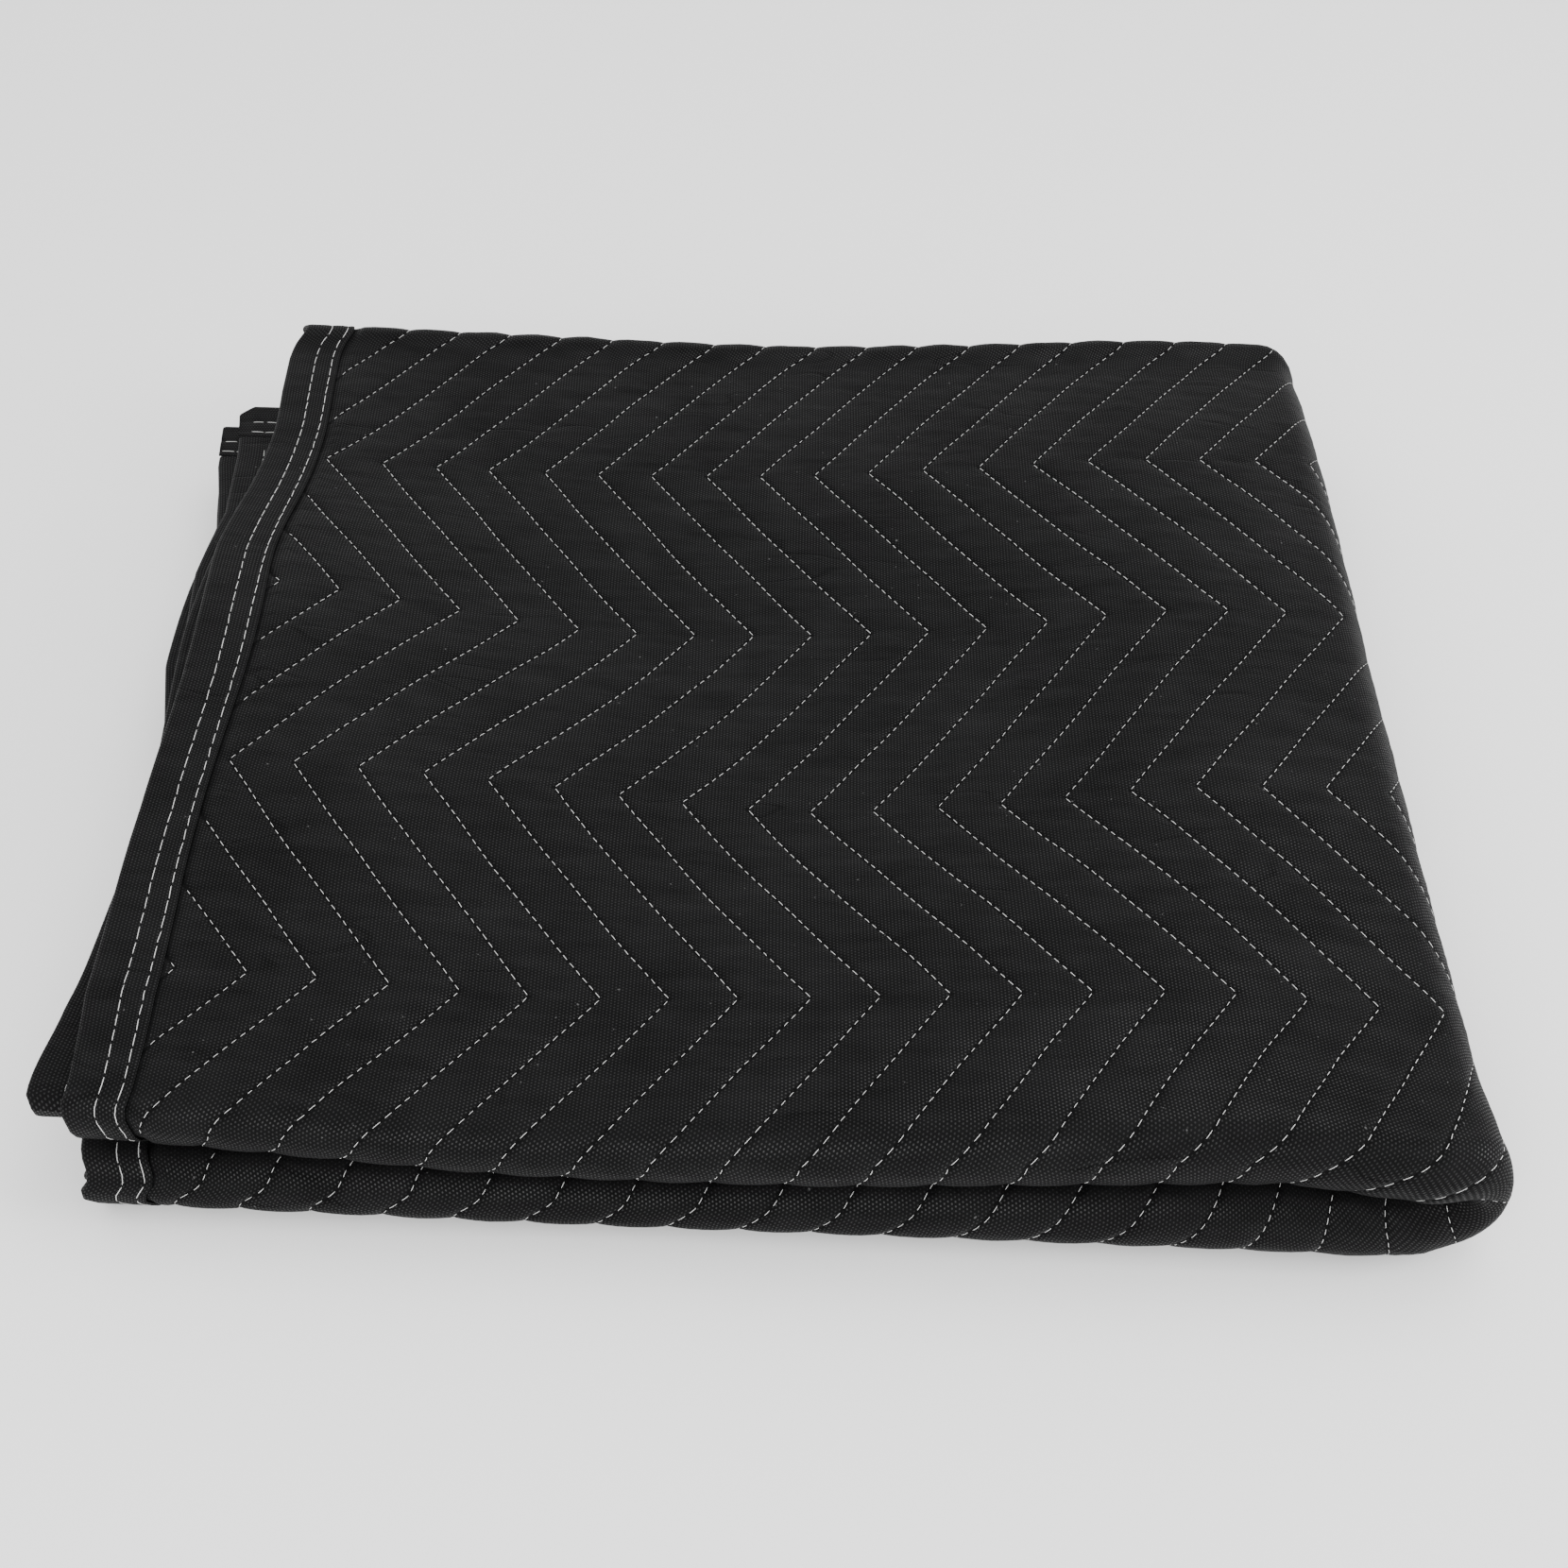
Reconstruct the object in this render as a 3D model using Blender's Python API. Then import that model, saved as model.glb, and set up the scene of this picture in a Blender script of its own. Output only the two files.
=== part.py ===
"""A quilted moving pad, folded in four along its length and then once across its width.

The pad is worked out flat, with u across the width and v along the length, and every flat point
is carried to its place in the folded stack. Units are metres, +Z is up, the origin is on the
table under the middle of the stack, and the pad's open side edges face -X.
"""

import bpy
import numpy as np
from mathutils import Matrix, Vector
from mathutils.geometry import delaunay_2d_cdt

# The flat pad
WIDTH = 1.026
LENGTH = 1.804
BINDING_WIDTH = 0.023

# The quilting: zigzag stitch lines along the length, one inch apart
LINE_PITCH = 0.0254
ZIGZAG_LEG = 0.1016
ZIGZAG_REACH = 0.0762
FIRST_LINE = 0.0277

# Thickness, all measured from the cloth's middle surface to one face, and the ramps between
PUFF_HALF = 0.0025
STITCHED_HALF = 0.0014
FOLD_HALF = 0.0017
HIDDEN_HALF = 0.0018
FOLD_RAMP = (0.004, 0.014)
SEEN_RAMP = 0.02
LIFT_OFF = 0.004
BOUND_HALF = 0.0008
BINDING_GAP = 0.0007
BINDING_PLY = 0.0007
BINDING_LIP = 0.0014

# The folded stack
LAYER_PITCH = 0.00725
HALF_STACK = 4 * LAYER_PITCH
INNER_LAYER, OUTER_LAYER = 0.5, 3.5
FRONT_AXIS_Y = -0.230
BACK_AXIS_Y = 0.2235
LOWER_START_Y = 0.181
SIDE_AXIS_X = 0.2355
OUTSIDE_SQUEEZE = 0.3
FRONT_SKEW = -0.029
BACK_SKEW = -0.022
BACK_SKEW_Y = (0.01, 0.23)
SKEW_END_Y = 0.16

# The back bend is a loop that stands a little higher than its two layers: its radius, how far the
# cloth turns away before it, the radius that brings it back to its layers, and where the table
# presses the lower one flat
LOOP_RADIUS = LAYER_PITCH
LOOP_TURN = np.radians(25)
SWELL_RADIUS = (LOOP_RADIUS * np.cos(LOOP_TURN) - LAYER_PITCH / 2) / (1 - np.cos(LOOP_TURN))
PRESSED_REACH = 0.010
RUN = BACK_AXIS_Y - (SWELL_RADIUS + LOOP_RADIUS) * np.sin(LOOP_TURN) - FRONT_AXIS_Y

# The walk along the length: each stretch's length, and its half turns (minus turns up and over)
OUTER_BEND = 1.5 * np.pi * LAYER_PITCH
INNER_BEND = 0.5 * np.pi * LAYER_PITCH
SWELL = SWELL_RADIUS * LOOP_TURN
HALF_LOOP = LOOP_RADIUS * (np.pi / 2 + LOOP_TURN)
STRETCHES = (
    ("lower run", LOWER_START_Y - FRONT_AXIS_Y, 0),
    ("outer front bend", OUTER_BEND, -1),
    ("outside run", RUN, 0),
    ("back swell", SWELL, LOOP_TURN / np.pi),
    ("back loop", HALF_LOOP, -0.5 - LOOP_TURN / np.pi),
    ("hidden back loop", HALF_LOOP, -0.5 - LOOP_TURN / np.pi),
    ("hidden back swell", SWELL, LOOP_TURN / np.pi),
    ("second run", RUN, 0),
    ("inner front bend", INNER_BEND, 1),
    ("third run", 1.0, 0),
)
OUTSIDE_START = LOWER_START_Y - FRONT_AXIS_Y + OUTER_BEND
QUILTED = (OUTSIDE_START - OUTER_BEND, OUTSIDE_START + RUN + SWELL + HALF_LOOP)
CORNER_ROW_Y = 0.129

# Height of the top face over the level stack, in mm, read across at rows from back to front
RELIEF_X = (-0.25, 0.25)
RELIEF_Y = (0.230, -0.278)
RELIEF_MM = (
    # left  ...  middle  ...  right
    (6.5, 4.5, 2, 0.5, 3.5, 8.5, 9.5),
    (3, -1, -3, -1.5, 6, 13.5, 14),
    (12, 6, -9, -10, -3.5, 10, 9),
    (8, 8, -1.5, -12, -4, 11, 11),
    (6, 3, -4, 0.5, 9, 14, 5),
    (0, -2, -2, 1, 5, 7, 2),
)
LEVEL_STACK = 0.058

# The open edges, at places from front to back: how far all are drawn in from a straight line,
# and how much further each inner layer is drawn in from the staircase that the side fold makes.
# Near the front bends, where the layers hold each other, the inner layers are drawn in all across
EDGE_Y = (-0.24, -0.19, -0.10, 0.00, 0.05, 0.10, 0.15, 0.18, 0.205, 0.26)
EDGE_IN_MM = (4.5, -1, 0, -3, -4, -1, -0.5, -2, -2, 3)
LAYER_IN_MM = (
    (0, 0, 0, 0, 0, 0, 0, 0, 0, 0),
    (5, 5, 5, 3, 3, 5, 8, 9, 9, 9),
    (17, 16, 16, 7, 4, 5, -2, -6, 17, 17),
    (28, 26, 27, 11, 11, 8, -2, -3, 17, 17),
)
OPEN_EDGE_X = -0.25
EDGE_FROM_X = -0.19
DRIFT_END_X = 0.16
FRONT_DRIFT_X = (0.10, 0.245)
FRONT_DRIFT_REACH = 0.05
EDGE_WAVE = 0.0012
EDGE_WAVE_LENGTH = 0.17
EDGE_WAVE_LAYERS = 0.58

# The side fold, at places from front to back: how far it stands out from a straight line
FOLD_Y = (-0.26, -0.20, -0.10, 0.00, 0.05, 0.10, 0.20)
FOLD_OUT_MM = (4, -3.4, -4.2, -3, -1.2, -0.8, -0.5)

# The layers inside the stack sag and rise a little along the depth
SAG = 0.0012
SAG_LENGTH = 0.19

# The front edge is drawn back where the side fold rounds it off
CORNER_X = (0.212, 0.262)
CORNER_BACK = 0.010
CORNER_REACH_Y = 0.09

# The back edge and the side fold round each other off: from what x and y, and how far in
BACK_CORNER_FROM = (0.185, 0.190)
BACK_CORNER_IN = (0.0012, 0.0012)

# In the upper half the front end of the inner fold stands out at the open edge, and the lower
# part of the outer bend is tucked in: where, how far that reaches, and how far out or in
INNER_FOLD_LAYER = 6
INNER_FOLD = (-0.236, 0.038, 0.0145)
TUCK_Y = (-0.262, 0.034)
TUCK_LAYER = (4.0, 1.8)
TUCK_IN = 0.003

# The lower half's open edges are drawn in at the back
LOWER_IN = 0.006
LOWER_IN_Y = (0.160, 0.210)

# How far the upper layers' front edge lies back from the lower layers' one
UPPER_BACK_X = (-0.25, -0.19, -0.12, 0.00, 0.08, 0.16, 0.21, 0.235)
UPPER_BACK_MM = (7, 5, 2, 1, 3, 6, 3, 0)
UPPER_BACK_REACH = 0.07

# The cloth is pushed back a little where it humps at the open edges
PUSH = 0.010
PUSH_CENTRE = (-0.25, 0.03)
PUSH_REACH = (0.07, 0.09)

# Mesh steps
HIDDEN_STEP = 0.052
BEND_STEP = np.radians(36)
EDGE_RAMP = (0.0010, 0.005)
FOLD_MARGIN = 0.0015
NORMAL_STEP = 0.0002


def smoothstep(value):
    value = np.clip(value, 0, 1)
    return value * value * (3 - 2 * value)


def walk(v):
    """The place along Y, and the height over the stack's middle, of a point at v along the pad."""
    y_out = np.zeros_like(v)
    r_out = np.zeros_like(v)
    start, y, r, heading = 0.0, LOWER_START_Y, INNER_LAYER * LAYER_PITCH, np.pi
    for _, length, half_turns in STRETCHES:
        inside = (v >= start) if start > 0 else np.ones_like(v, bool)
        along = v[inside] - start
        turn = half_turns * np.pi
        if turn == 0:
            y_out[inside] = y + np.cos(heading) * along
            r_out[inside] = r + np.sin(heading) * along
            y += np.cos(heading) * length
            r += np.sin(heading) * length
        else:
            radius = length / turn
            angle = heading + along / radius
            y_out[inside] = y + radius * (np.sin(angle) - np.sin(heading))
            r_out[inside] = r - radius * (np.cos(angle) - np.cos(heading))
            y += radius * (np.sin(heading + turn) - np.sin(heading))
            r -= radius * (np.cos(heading + turn) - np.cos(heading))
            heading += turn
        start += length
    return y_out, r_out


def side_bend(r):
    """The side fold is a half ellipse: a quarter's length, and how far it stands out in X."""
    outer = (r / LAYER_PITCH - INNER_LAYER) / (OUTER_LAYER - INNER_LAYER)
    half_wide = r * (1 - OUTSIDE_SQUEEZE * outer)
    return np.pi / 2 * np.sqrt((half_wide**2 + r**2) / 2), half_wide


def fold_sideways(u, r):
    """Across the width: flat, then round the side fold, then back below the stack's middle."""
    from_fold = np.abs(u - WIDTH / 2)
    bend, half_wide = side_bend(r)
    angle = np.clip(from_fold / bend, 0, 1) * np.pi / 2
    x = SIDE_AXIS_X + half_wide * np.cos(angle) - np.maximum(from_fold - bend, 0)
    z = HALF_STACK + np.sign(WIDTH / 2 - u) * r * np.sin(angle)
    return x, z


def pressed_loop(y, z):
    """The back loop of the lower half is pressed flat, so that it doesn't dip under its layer."""
    pressed = smoothstep((y - FRONT_AXIS_Y - RUN) / PRESSED_REACH)
    return z + 0.5 * pressed * np.maximum(LOOP_RADIUS - z, 0)


def spline_weights(where, count):
    """Catmull-Rom weights of a row of evenly spaced values, for places from 0 to count - 1."""
    where = np.clip(where, 0, count - 1)
    cell = np.minimum(where.astype(int), count - 2)
    t = where - cell
    parts = (
        -0.5 * t + t**2 - 0.5 * t**3,
        1 - 2.5 * t**2 + 1.5 * t**3,
        0.5 * t + 2 * t**2 - 1.5 * t**3,
        -0.5 * t**2 + 0.5 * t**3,
    )
    weights = np.zeros(where.shape + (count,))
    for shift, part in zip((-1, 0, 1, 2), parts):
        index = np.clip(cell + shift, 0, count - 1)
        np.put_along_axis(
            weights,
            index[..., None],
            np.take_along_axis(weights, index[..., None], -1) + part[..., None],
            -1,
        )
    return weights


def top_height(x, y):
    table = np.array(RELIEF_MM) / 1000
    rows, columns = table.shape
    across = (x - RELIEF_X[0]) / (RELIEF_X[1] - RELIEF_X[0]) * (columns - 1)
    deep = (y - RELIEF_Y[0]) / (RELIEF_Y[1] - RELIEF_Y[0]) * (rows - 1)
    relief = np.einsum(
        "...r,rc,...c->...", spline_weights(deep, rows), table, spline_weights(across, columns)
    )
    return LEVEL_STACK + relief


def settle(x, y, z):
    """The stack as it lies: hollowed and humped, skewed, its open edges and folds uneven."""
    r = np.abs(z - HALF_STACK)
    layer = np.clip(OUTER_LAYER - r / LAYER_PITCH, 0, len(LAYER_IN_MM) - 1)
    left = smoothstep((DRIFT_END_X - x) / (DRIFT_END_X - OPEN_EDGE_X))
    across = smoothstep((FRONT_DRIFT_X[1] - x) / (FRONT_DRIFT_X[1] - FRONT_DRIFT_X[0]))
    near = smoothstep((FRONT_AXIS_Y + FRONT_DRIFT_REACH - y) / FRONT_DRIFT_REACH)
    drawn = left + (across - left) * near
    edge = smoothstep((EDGE_FROM_X - x) / (EDGE_FROM_X - OPEN_EDGE_X))
    edge_in = edge * np.interp(y, EDGE_Y, EDGE_IN_MM) / 1000
    fold_out = smoothstep(x / SIDE_AXIS_X) * np.interp(y, FOLD_Y, FOLD_OUT_MM) / 1000
    layer_in = [np.interp(y, EDGE_Y, row) / 1000 for row in LAYER_IN_MM]
    layer_in = sum(np.maximum(1 - np.abs(layer - k), 0) * row for k, row in enumerate(layer_in))
    inwards = edge_in + drawn * layer_in
    upper = z > HALF_STACK
    lower_in = smoothstep((y - LOWER_IN_Y[0]) / (LOWER_IN_Y[1] - LOWER_IN_Y[0]))
    inwards = inwards + LOWER_IN * edge * lower_in * smoothstep(OUTER_LAYER - z / LAYER_PITCH)
    ring = np.hypot(np.minimum(y - FRONT_AXIS_Y, 0), z - INNER_FOLD_LAYER * LAYER_PITCH) / LAYER_PITCH
    near = ((ring - 0.5) / 0.5) ** 2 + ((y - INNER_FOLD[0]) / INNER_FOLD[1]) ** 2
    inwards = inwards - INNER_FOLD[2] * edge * upper * np.exp(-near)
    near = ((z / LAYER_PITCH - TUCK_LAYER[0]) / TUCK_LAYER[1]) ** 2 + ((y - TUCK_Y[0]) / TUCK_Y[1]) ** 2
    inwards = inwards + TUCK_IN * edge * upper * np.exp(-near)
    wave = EDGE_WAVE * np.sin(2 * np.pi * (y / EDGE_WAVE_LENGTH + EDGE_WAVE_LAYERS * z / LAYER_PITCH))
    front = smoothstep((SKEW_END_Y - y) / (SKEW_END_Y - FRONT_AXIS_Y))
    back = smoothstep((y - BACK_SKEW_Y[0]) / (BACK_SKEW_Y[1] - BACK_SKEW_Y[0]))
    corner = smoothstep((x - CORNER_X[0]) / (CORNER_X[1] - CORNER_X[0]))
    corner = corner * smoothstep((FRONT_AXIS_Y + CORNER_REACH_Y - y) / CORNER_REACH_Y)
    from_x, from_y = BACK_CORNER_FROM
    round_off = (np.maximum(x - from_x, 0) / (SIDE_AXIS_X - from_x)) ** 2
    round_off = round_off * (np.maximum(y - from_y, 0) / (BACK_AXIS_Y - from_y)) ** 2
    push = np.exp(-(((x - PUSH_CENTRE[0]) / PUSH_REACH[0]) ** 2))
    push = push * np.exp(-(((y - PUSH_CENTRE[1]) / PUSH_REACH[1]) ** 2))
    new_x = x + inwards + left * wave + fold_out - BACK_CORNER_IN[0] * round_off
    new_y = y + (FRONT_SKEW * front + BACK_SKEW * back) * x + CORNER_BACK * corner + PUSH * push
    new_y = new_y - BACK_CORNER_IN[1] * round_off
    upper_back = np.interp(x, UPPER_BACK_X, UPPER_BACK_MM) / 1000 * upper
    new_y = new_y + upper_back * smoothstep((FRONT_AXIS_Y + UPPER_BACK_REACH - y) / UPPER_BACK_REACH)
    sag = SAG * np.sin(2 * np.pi * (y / SAG_LENGTH + x)) * np.sin(np.pi * z / (2 * HALF_STACK)) ** 2
    new_z = z * top_height(x, y) / (2 * HALF_STACK) + sag
    return new_x, new_y, new_z


def middle(u, v):
    """The cloth's middle surface."""
    y, r = walk(v)
    x, z = fold_sideways(u, r)
    return np.stack(settle(x, y, pressed_loop(y, z)), -1)


def facing(u, v):
    """Unit normals of the middle surface, up on the top layer."""
    step = NORMAL_STEP
    across = middle(u + step, v) - middle(u - step, v)
    along = middle(u, v + step) - middle(u, v - step)
    normal = np.cross(across, along)
    return normal / np.linalg.norm(normal, axis=-1, keepdims=True)


def zigzag(v):
    """Sideways shift of the stitch lines, 0 at one row of corners and 1 at the next."""
    row = (v - OUTSIDE_START - (CORNER_ROW_Y - FRONT_AXIS_Y)) / ZIGZAG_LEG
    return np.abs((row + 1) % 2 - 1)


def line_phase(u, v):
    """0 on a stitch line, 1 on the next."""
    return (u - FIRST_LINE - ZIGZAG_REACH * zigzag(v)) / LINE_PITCH


def half_thickness(u, v):
    """Puffed between the stitch lines, pressed in the side fold and under the bindings."""
    y, r = walk(v)
    puff = np.abs(np.sin(np.pi * line_phase(u, v)))
    half = STITCHED_HALF + (PUFF_HALF - STITCHED_HALF) * puff
    past_fold = np.abs(u - WIDTH / 2) - side_bend(r)[0] - FOLD_RAMP[0]
    in_fold = 1 - smoothstep(past_fold / (FOLD_RAMP[1] - FOLD_RAMP[0]))
    half = half + (FOLD_HALF - half) * in_fold
    seen = smoothstep((v - QUILTED[0]) / SEEN_RAMP + 1) * smoothstep((QUILTED[1] - v) / SEEN_RAMP + 1)
    half = HIDDEN_HALF + (half - HIDDEN_HALF) * seen
    to_edge = np.minimum(np.minimum(u, WIDTH - u), np.minimum(v, LENGTH - v))
    ramp = (to_edge - BINDING_WIDTH - EDGE_RAMP[0]) / (EDGE_RAMP[1] - EDGE_RAMP[0])
    return BOUND_HALF + (half - BOUND_HALF) * smoothstep(ramp)


def resting(u, v):
    """0 on the run that lies on the table, up to 1 where the cloth has left it."""
    y, r = walk(v)
    z = pressed_loop(y, fold_sideways(u, r)[1])
    return smoothstep((z - INNER_LAYER * LAYER_PITCH) / LIFT_OFF)


def offset_point(u, v, offset, pressed):
    """A point off the middle surface. Where pressed, the underside is flat on the table."""
    place = middle(u, v) + facing(u, v) * offset[..., None]
    flat = np.where(pressed & (offset > 0), resting(u, v), 1)
    place[..., 2] *= flat
    return place


def rows_of_stretches():
    """Where the mesh has rows along v: at bends, corner rows, binding ramps and between."""
    rows = [0, LENGTH]
    rows += [end for ramp in EDGE_RAMP for end in (BINDING_WIDTH + ramp, LENGTH - BINDING_WIDTH - ramp)]
    start = 0.0
    for name, length, half_turns in STRETCHES:
        end = min(start + length, LENGTH)
        if half_turns:
            count = max(round(abs(half_turns) * np.pi / BEND_STEP), 2)
            rows += list(np.linspace(start, end, count + 1))
        elif name != "outside run":
            first = max(start, BINDING_WIDTH + EDGE_RAMP[1])
            last = min(end, LENGTH - BINDING_WIDTH - EDGE_RAMP[1])
            rows += list(np.linspace(first, last, round((last - first) / HIDDEN_STEP) + 1))
        if name == "second run":
            rows.append(start + FRONT_AXIS_Y + RUN - BACK_CORNER_FROM[1])
        start += length
    half_leg = ZIGZAG_LEG / 2
    corner = OUTSIDE_START + CORNER_ROW_Y - FRONT_AXIS_Y
    rows += [
        corner + k * half_leg
        for k in range(-9, 4)
        if OUTSIDE_START + 0.012 < corner + k * half_leg < OUTSIDE_START + RUN - 0.012
    ]
    rows = np.array(sorted(rows))
    return rows[np.concatenate([[True], np.diff(rows) > 1e-6])]


def fold_columns(v):
    """The columns that follow the side fold round, however deep the layer lies in it."""
    y, r = walk(np.array([v]))
    fractions = np.array((-1, -2 / 3, -1 / 3, 0, 1 / 3, 2 / 3, 1))
    return WIDTH / 2 + fractions * (side_bend(r[0])[0] + FOLD_MARGIN)


def edge_columns():
    near = [0, BINDING_WIDTH + EDGE_RAMP[0], BINDING_WIDTH + EDGE_RAMP[1]]
    return near, [WIDTH - u for u in reversed(near)]


def hidden_columns(v):
    """Plain columns of the runs that are folded away inside."""
    fold = fold_columns(v)
    near, far = edge_columns()
    left = np.linspace(near[-1], fold[0], round((WIDTH / 2 - near[-1]) / HIDDEN_STEP) + 1)
    right = np.linspace(fold[-1], far[0], round((WIDTH / 2 - near[-1]) / HIDDEN_STEP) + 1)
    return list(left[1:-1]), list(right[1:-1])


class FlatMesh:
    """Points and edges of the flat pad, with points that coincide made one."""

    def __init__(self):
        self.index = {}
        self.points = []
        self.edges = set()
        self.rows = {}

    def point(self, u, v):
        key = (round(u * 1e6), round(v * 1e6))
        if key not in self.index:
            self.index[key] = len(self.points)
            self.points.append((float(u), float(v)))
            self.rows.setdefault(key[1], []).append((float(u), self.index[key]))
        return self.index[key]

    def edge(self, first, second):
        if first != second:
            self.edges.add((min(first, second), max(first, second)))

    def join_rows(self, row_keys):
        for key in row_keys:
            row = sorted(self.rows[key])
            for (_, first), (_, second) in zip(row, row[1:]):
                self.edge(first, second)


def clip_line(ends, low, high):
    """The part of a straight piece of stitch line between two borders, as (u, t) pairs."""
    (u1, u2), (low1, low2), (high1, high2) = ends, low, high
    t0, t1 = 0.0, 1.0
    for gap1, gap2 in ((u1 - low1, u2 - low2), (high1 - u1, high2 - u2)):
        if gap1 < 0 and gap2 < 0:
            return None
        if gap1 < 0:
            t0 = max(t0, gap1 / (gap1 - gap2))
        if gap2 < 0:
            t1 = min(t1, gap1 / (gap1 - gap2))
    if t1 - t0 < 1e-3:
        return None
    return [(u1 + t * (u2 - u1), t) for t in (t0, t1)]


def flat_pad():
    """The flat pad as triangles whose edges follow the stitch lines and the puffs between them."""
    flat = FlatMesh()
    rows = rows_of_stretches()
    half_lines = range(-8, int(2 * WIDTH / LINE_PITCH) + 2)
    near, far = edge_columns()
    for v1, v2 in zip(rows, rows[1:]):
        quilted = QUILTED[0] - 1e-6 < v1 and v2 < QUILTED[1] + 1e-6
        fixed = [
            (near + list(fold_columns(v)) + far, sum(hidden_columns(v), [])) for v in (v1, v2)
        ]
        columns = list(zip(fixed[0][0], fixed[1][0]))
        if not quilted:
            columns += list(zip(fixed[0][1], fixed[1][1]))
        for u1, u2 in columns:
            flat.edge(flat.point(u1, v1), flat.point(u2, v2))
        if not quilted:
            continue
        folds = (fold_columns(v1), fold_columns(v2))
        zones = (
            ((near[-1], near[-1]), (folds[0][0], folds[1][0])),
            ((folds[0][-1], folds[1][-1]), (far[0], far[0])),
        )
        for half_line in half_lines:
            start = FIRST_LINE + half_line * LINE_PITCH / 2
            ends = [start + ZIGZAG_REACH * float(zigzag(np.array(v))) for v in (v1, v2)]
            for low, high in zones:
                piece = clip_line(ends, low, high)
                if piece:
                    joined = [flat.point(u, v1 + t * (v2 - v1)) for u, t in piece]
                    flat.edge(*joined)
    flat.join_rows([round(v * 1e6) for v in rows])
    points = [Vector((u * 1000, v * 1000)) for u, v in flat.points]
    result = delaunay_2d_cdt(points, sorted(flat.edges), [], 0, 1e-4)
    uv = np.array([tuple(p) for p in result[0]]) / 1000
    faces = np.array([tuple(face) for face in result[2]])
    a, b, c = (uv[faces[:, k]] for k in range(3))
    doubled_area = (b - a)[:, 0] * (c - a)[:, 1] - (b - a)[:, 1] * (c - a)[:, 0]
    faces[doubled_area < 0] = faces[doubled_area < 0][:, ::-1]
    return uv, faces[np.abs(doubled_area) > 1e-10]


def border_edges(faces):
    """The directed edges that only one triangle has."""
    directed = {}
    for face in faces.tolist():
        for first, second in zip(face, face[1:] + face[:1]):
            directed[(first, second)] = True
    return [(a, b) for a, b in directed if (b, a) not in directed]


def pad_mesh():
    """One closed solid: the cloth's two faces, joined round its cut edge."""
    uv, faces = flat_pad()
    u, v = uv[:, 0], uv[:, 1]
    half = half_thickness(u, v)
    to_edge = np.minimum(np.minimum(u, WIDTH - u), np.minimum(v, LENGTH - v))
    clear = to_edge > BINDING_WIDTH + 0.5 * sum(EDGE_RAMP)
    upper = offset_point(u, v, half, clear)
    lower = offset_point(u, v, -half, clear)
    count = len(uv)
    triangles = faces.tolist() + (faces[:, ::-1] + count).tolist()
    for a, b in border_edges(faces):
        triangles.append((b, a, a + count))
        triangles.append((b, a + count, b + count))
    return np.concatenate([upper, lower]), triangles


def binding_section():
    """The binding's folded strip, as (distance in from the edge, offset, on the outside) rows."""
    inside = BOUND_HALF + BINDING_GAP
    outside = inside + BINDING_PLY
    lip = BINDING_LIP
    return (
        (BINDING_WIDTH, outside, True),
        (0.0008, outside, True),
        (-0.6 * lip, 0.65 * outside, True),
        (-lip, 0, True),
        (-0.6 * lip, -0.65 * outside, True),
        (0.0008, -outside, True),
        (BINDING_WIDTH, -outside, True),
        (BINDING_WIDTH, -inside, False),
        (-BINDING_GAP, -inside, False),
        (-BINDING_GAP, inside, False),
        (BINDING_WIDTH, inside, False),
    )


def strip_mesh(stations, place, flip):
    """A closed strip: the binding's section carried along the stations of one edge."""
    section = binding_section()
    count = len(section)
    points = []
    for depth, offset, outside in section:
        u, v = place(depth, stations)
        points.append(offset_point(u, v, np.full_like(u, offset), np.full(u.shape, outside)))
    points = np.stack(points, 1).reshape(-1, 3)
    faces = []
    for row in range(len(stations) - 1):
        for k in range(count):
            a, b = row * count + k, row * count + (k + 1) % count
            faces.append((a, b, b + count, a + count))
    start_cap = [(0, 1, 9, 10), (1, 2, 9), (2, 3, 9), (3, 8, 9), (3, 4, 8), (4, 5, 8), (5, 6, 7, 8)]
    last = (len(stations) - 1) * count
    faces += [face[::-1] for face in start_cap]
    faces += [tuple(k + last for k in face) for face in start_cap]
    if flip:
        faces = [face[::-1] for face in faces]
    return points, faces


def side_stations():
    rows = rows_of_stretches()
    first, last = BINDING_WIDTH + EDGE_RAMP[0], LENGTH - BINDING_WIDTH - EDGE_RAMP[0]
    return rows[(rows > first - 1e-6) & (rows < last + 1e-6)]


def end_stations(v):
    near, far = edge_columns()
    left, right = hidden_columns(v)
    columns = [-BINDING_LIP] + near[1:] + left + list(fold_columns(v)) + right + far[:-1]
    return np.array(columns + [WIDTH + BINDING_LIP])


def cloth_material(name, colour, roughness):
    material = bpy.data.materials.new(name)
    material.use_nodes = True
    shader = material.node_tree.nodes["Principled BSDF"]
    shader.inputs["Base Color"].default_value = (*colour, 1)
    shader.inputs["Roughness"].default_value = roughness
    shader.inputs["Metallic"].default_value = 0
    return material


def add_object(name, points, faces, material):
    mesh = bpy.data.meshes.new(name)
    mesh.from_pydata([tuple(p) for p in points], [], [tuple(f) for f in faces])
    mesh.update()
    mesh.shade_smooth()
    mesh.set_sharp_from_angle(angle=np.radians(40))
    mesh.materials.append(material)
    thing = bpy.data.objects.new(name, mesh)
    bpy.context.collection.objects.link(thing)
    return thing


def stand_on_origin(things):
    """Moves the meshes so that the stack's box stands centred over the origin."""
    corners = np.array([vertex.co for thing in things for vertex in thing.data.vertices])
    centre = (corners.min(axis=0) + corners.max(axis=0)) / 2
    for thing in things:
        thing.data.transform(Matrix.Translation((-centre[0], -centre[1], 0)))


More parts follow.
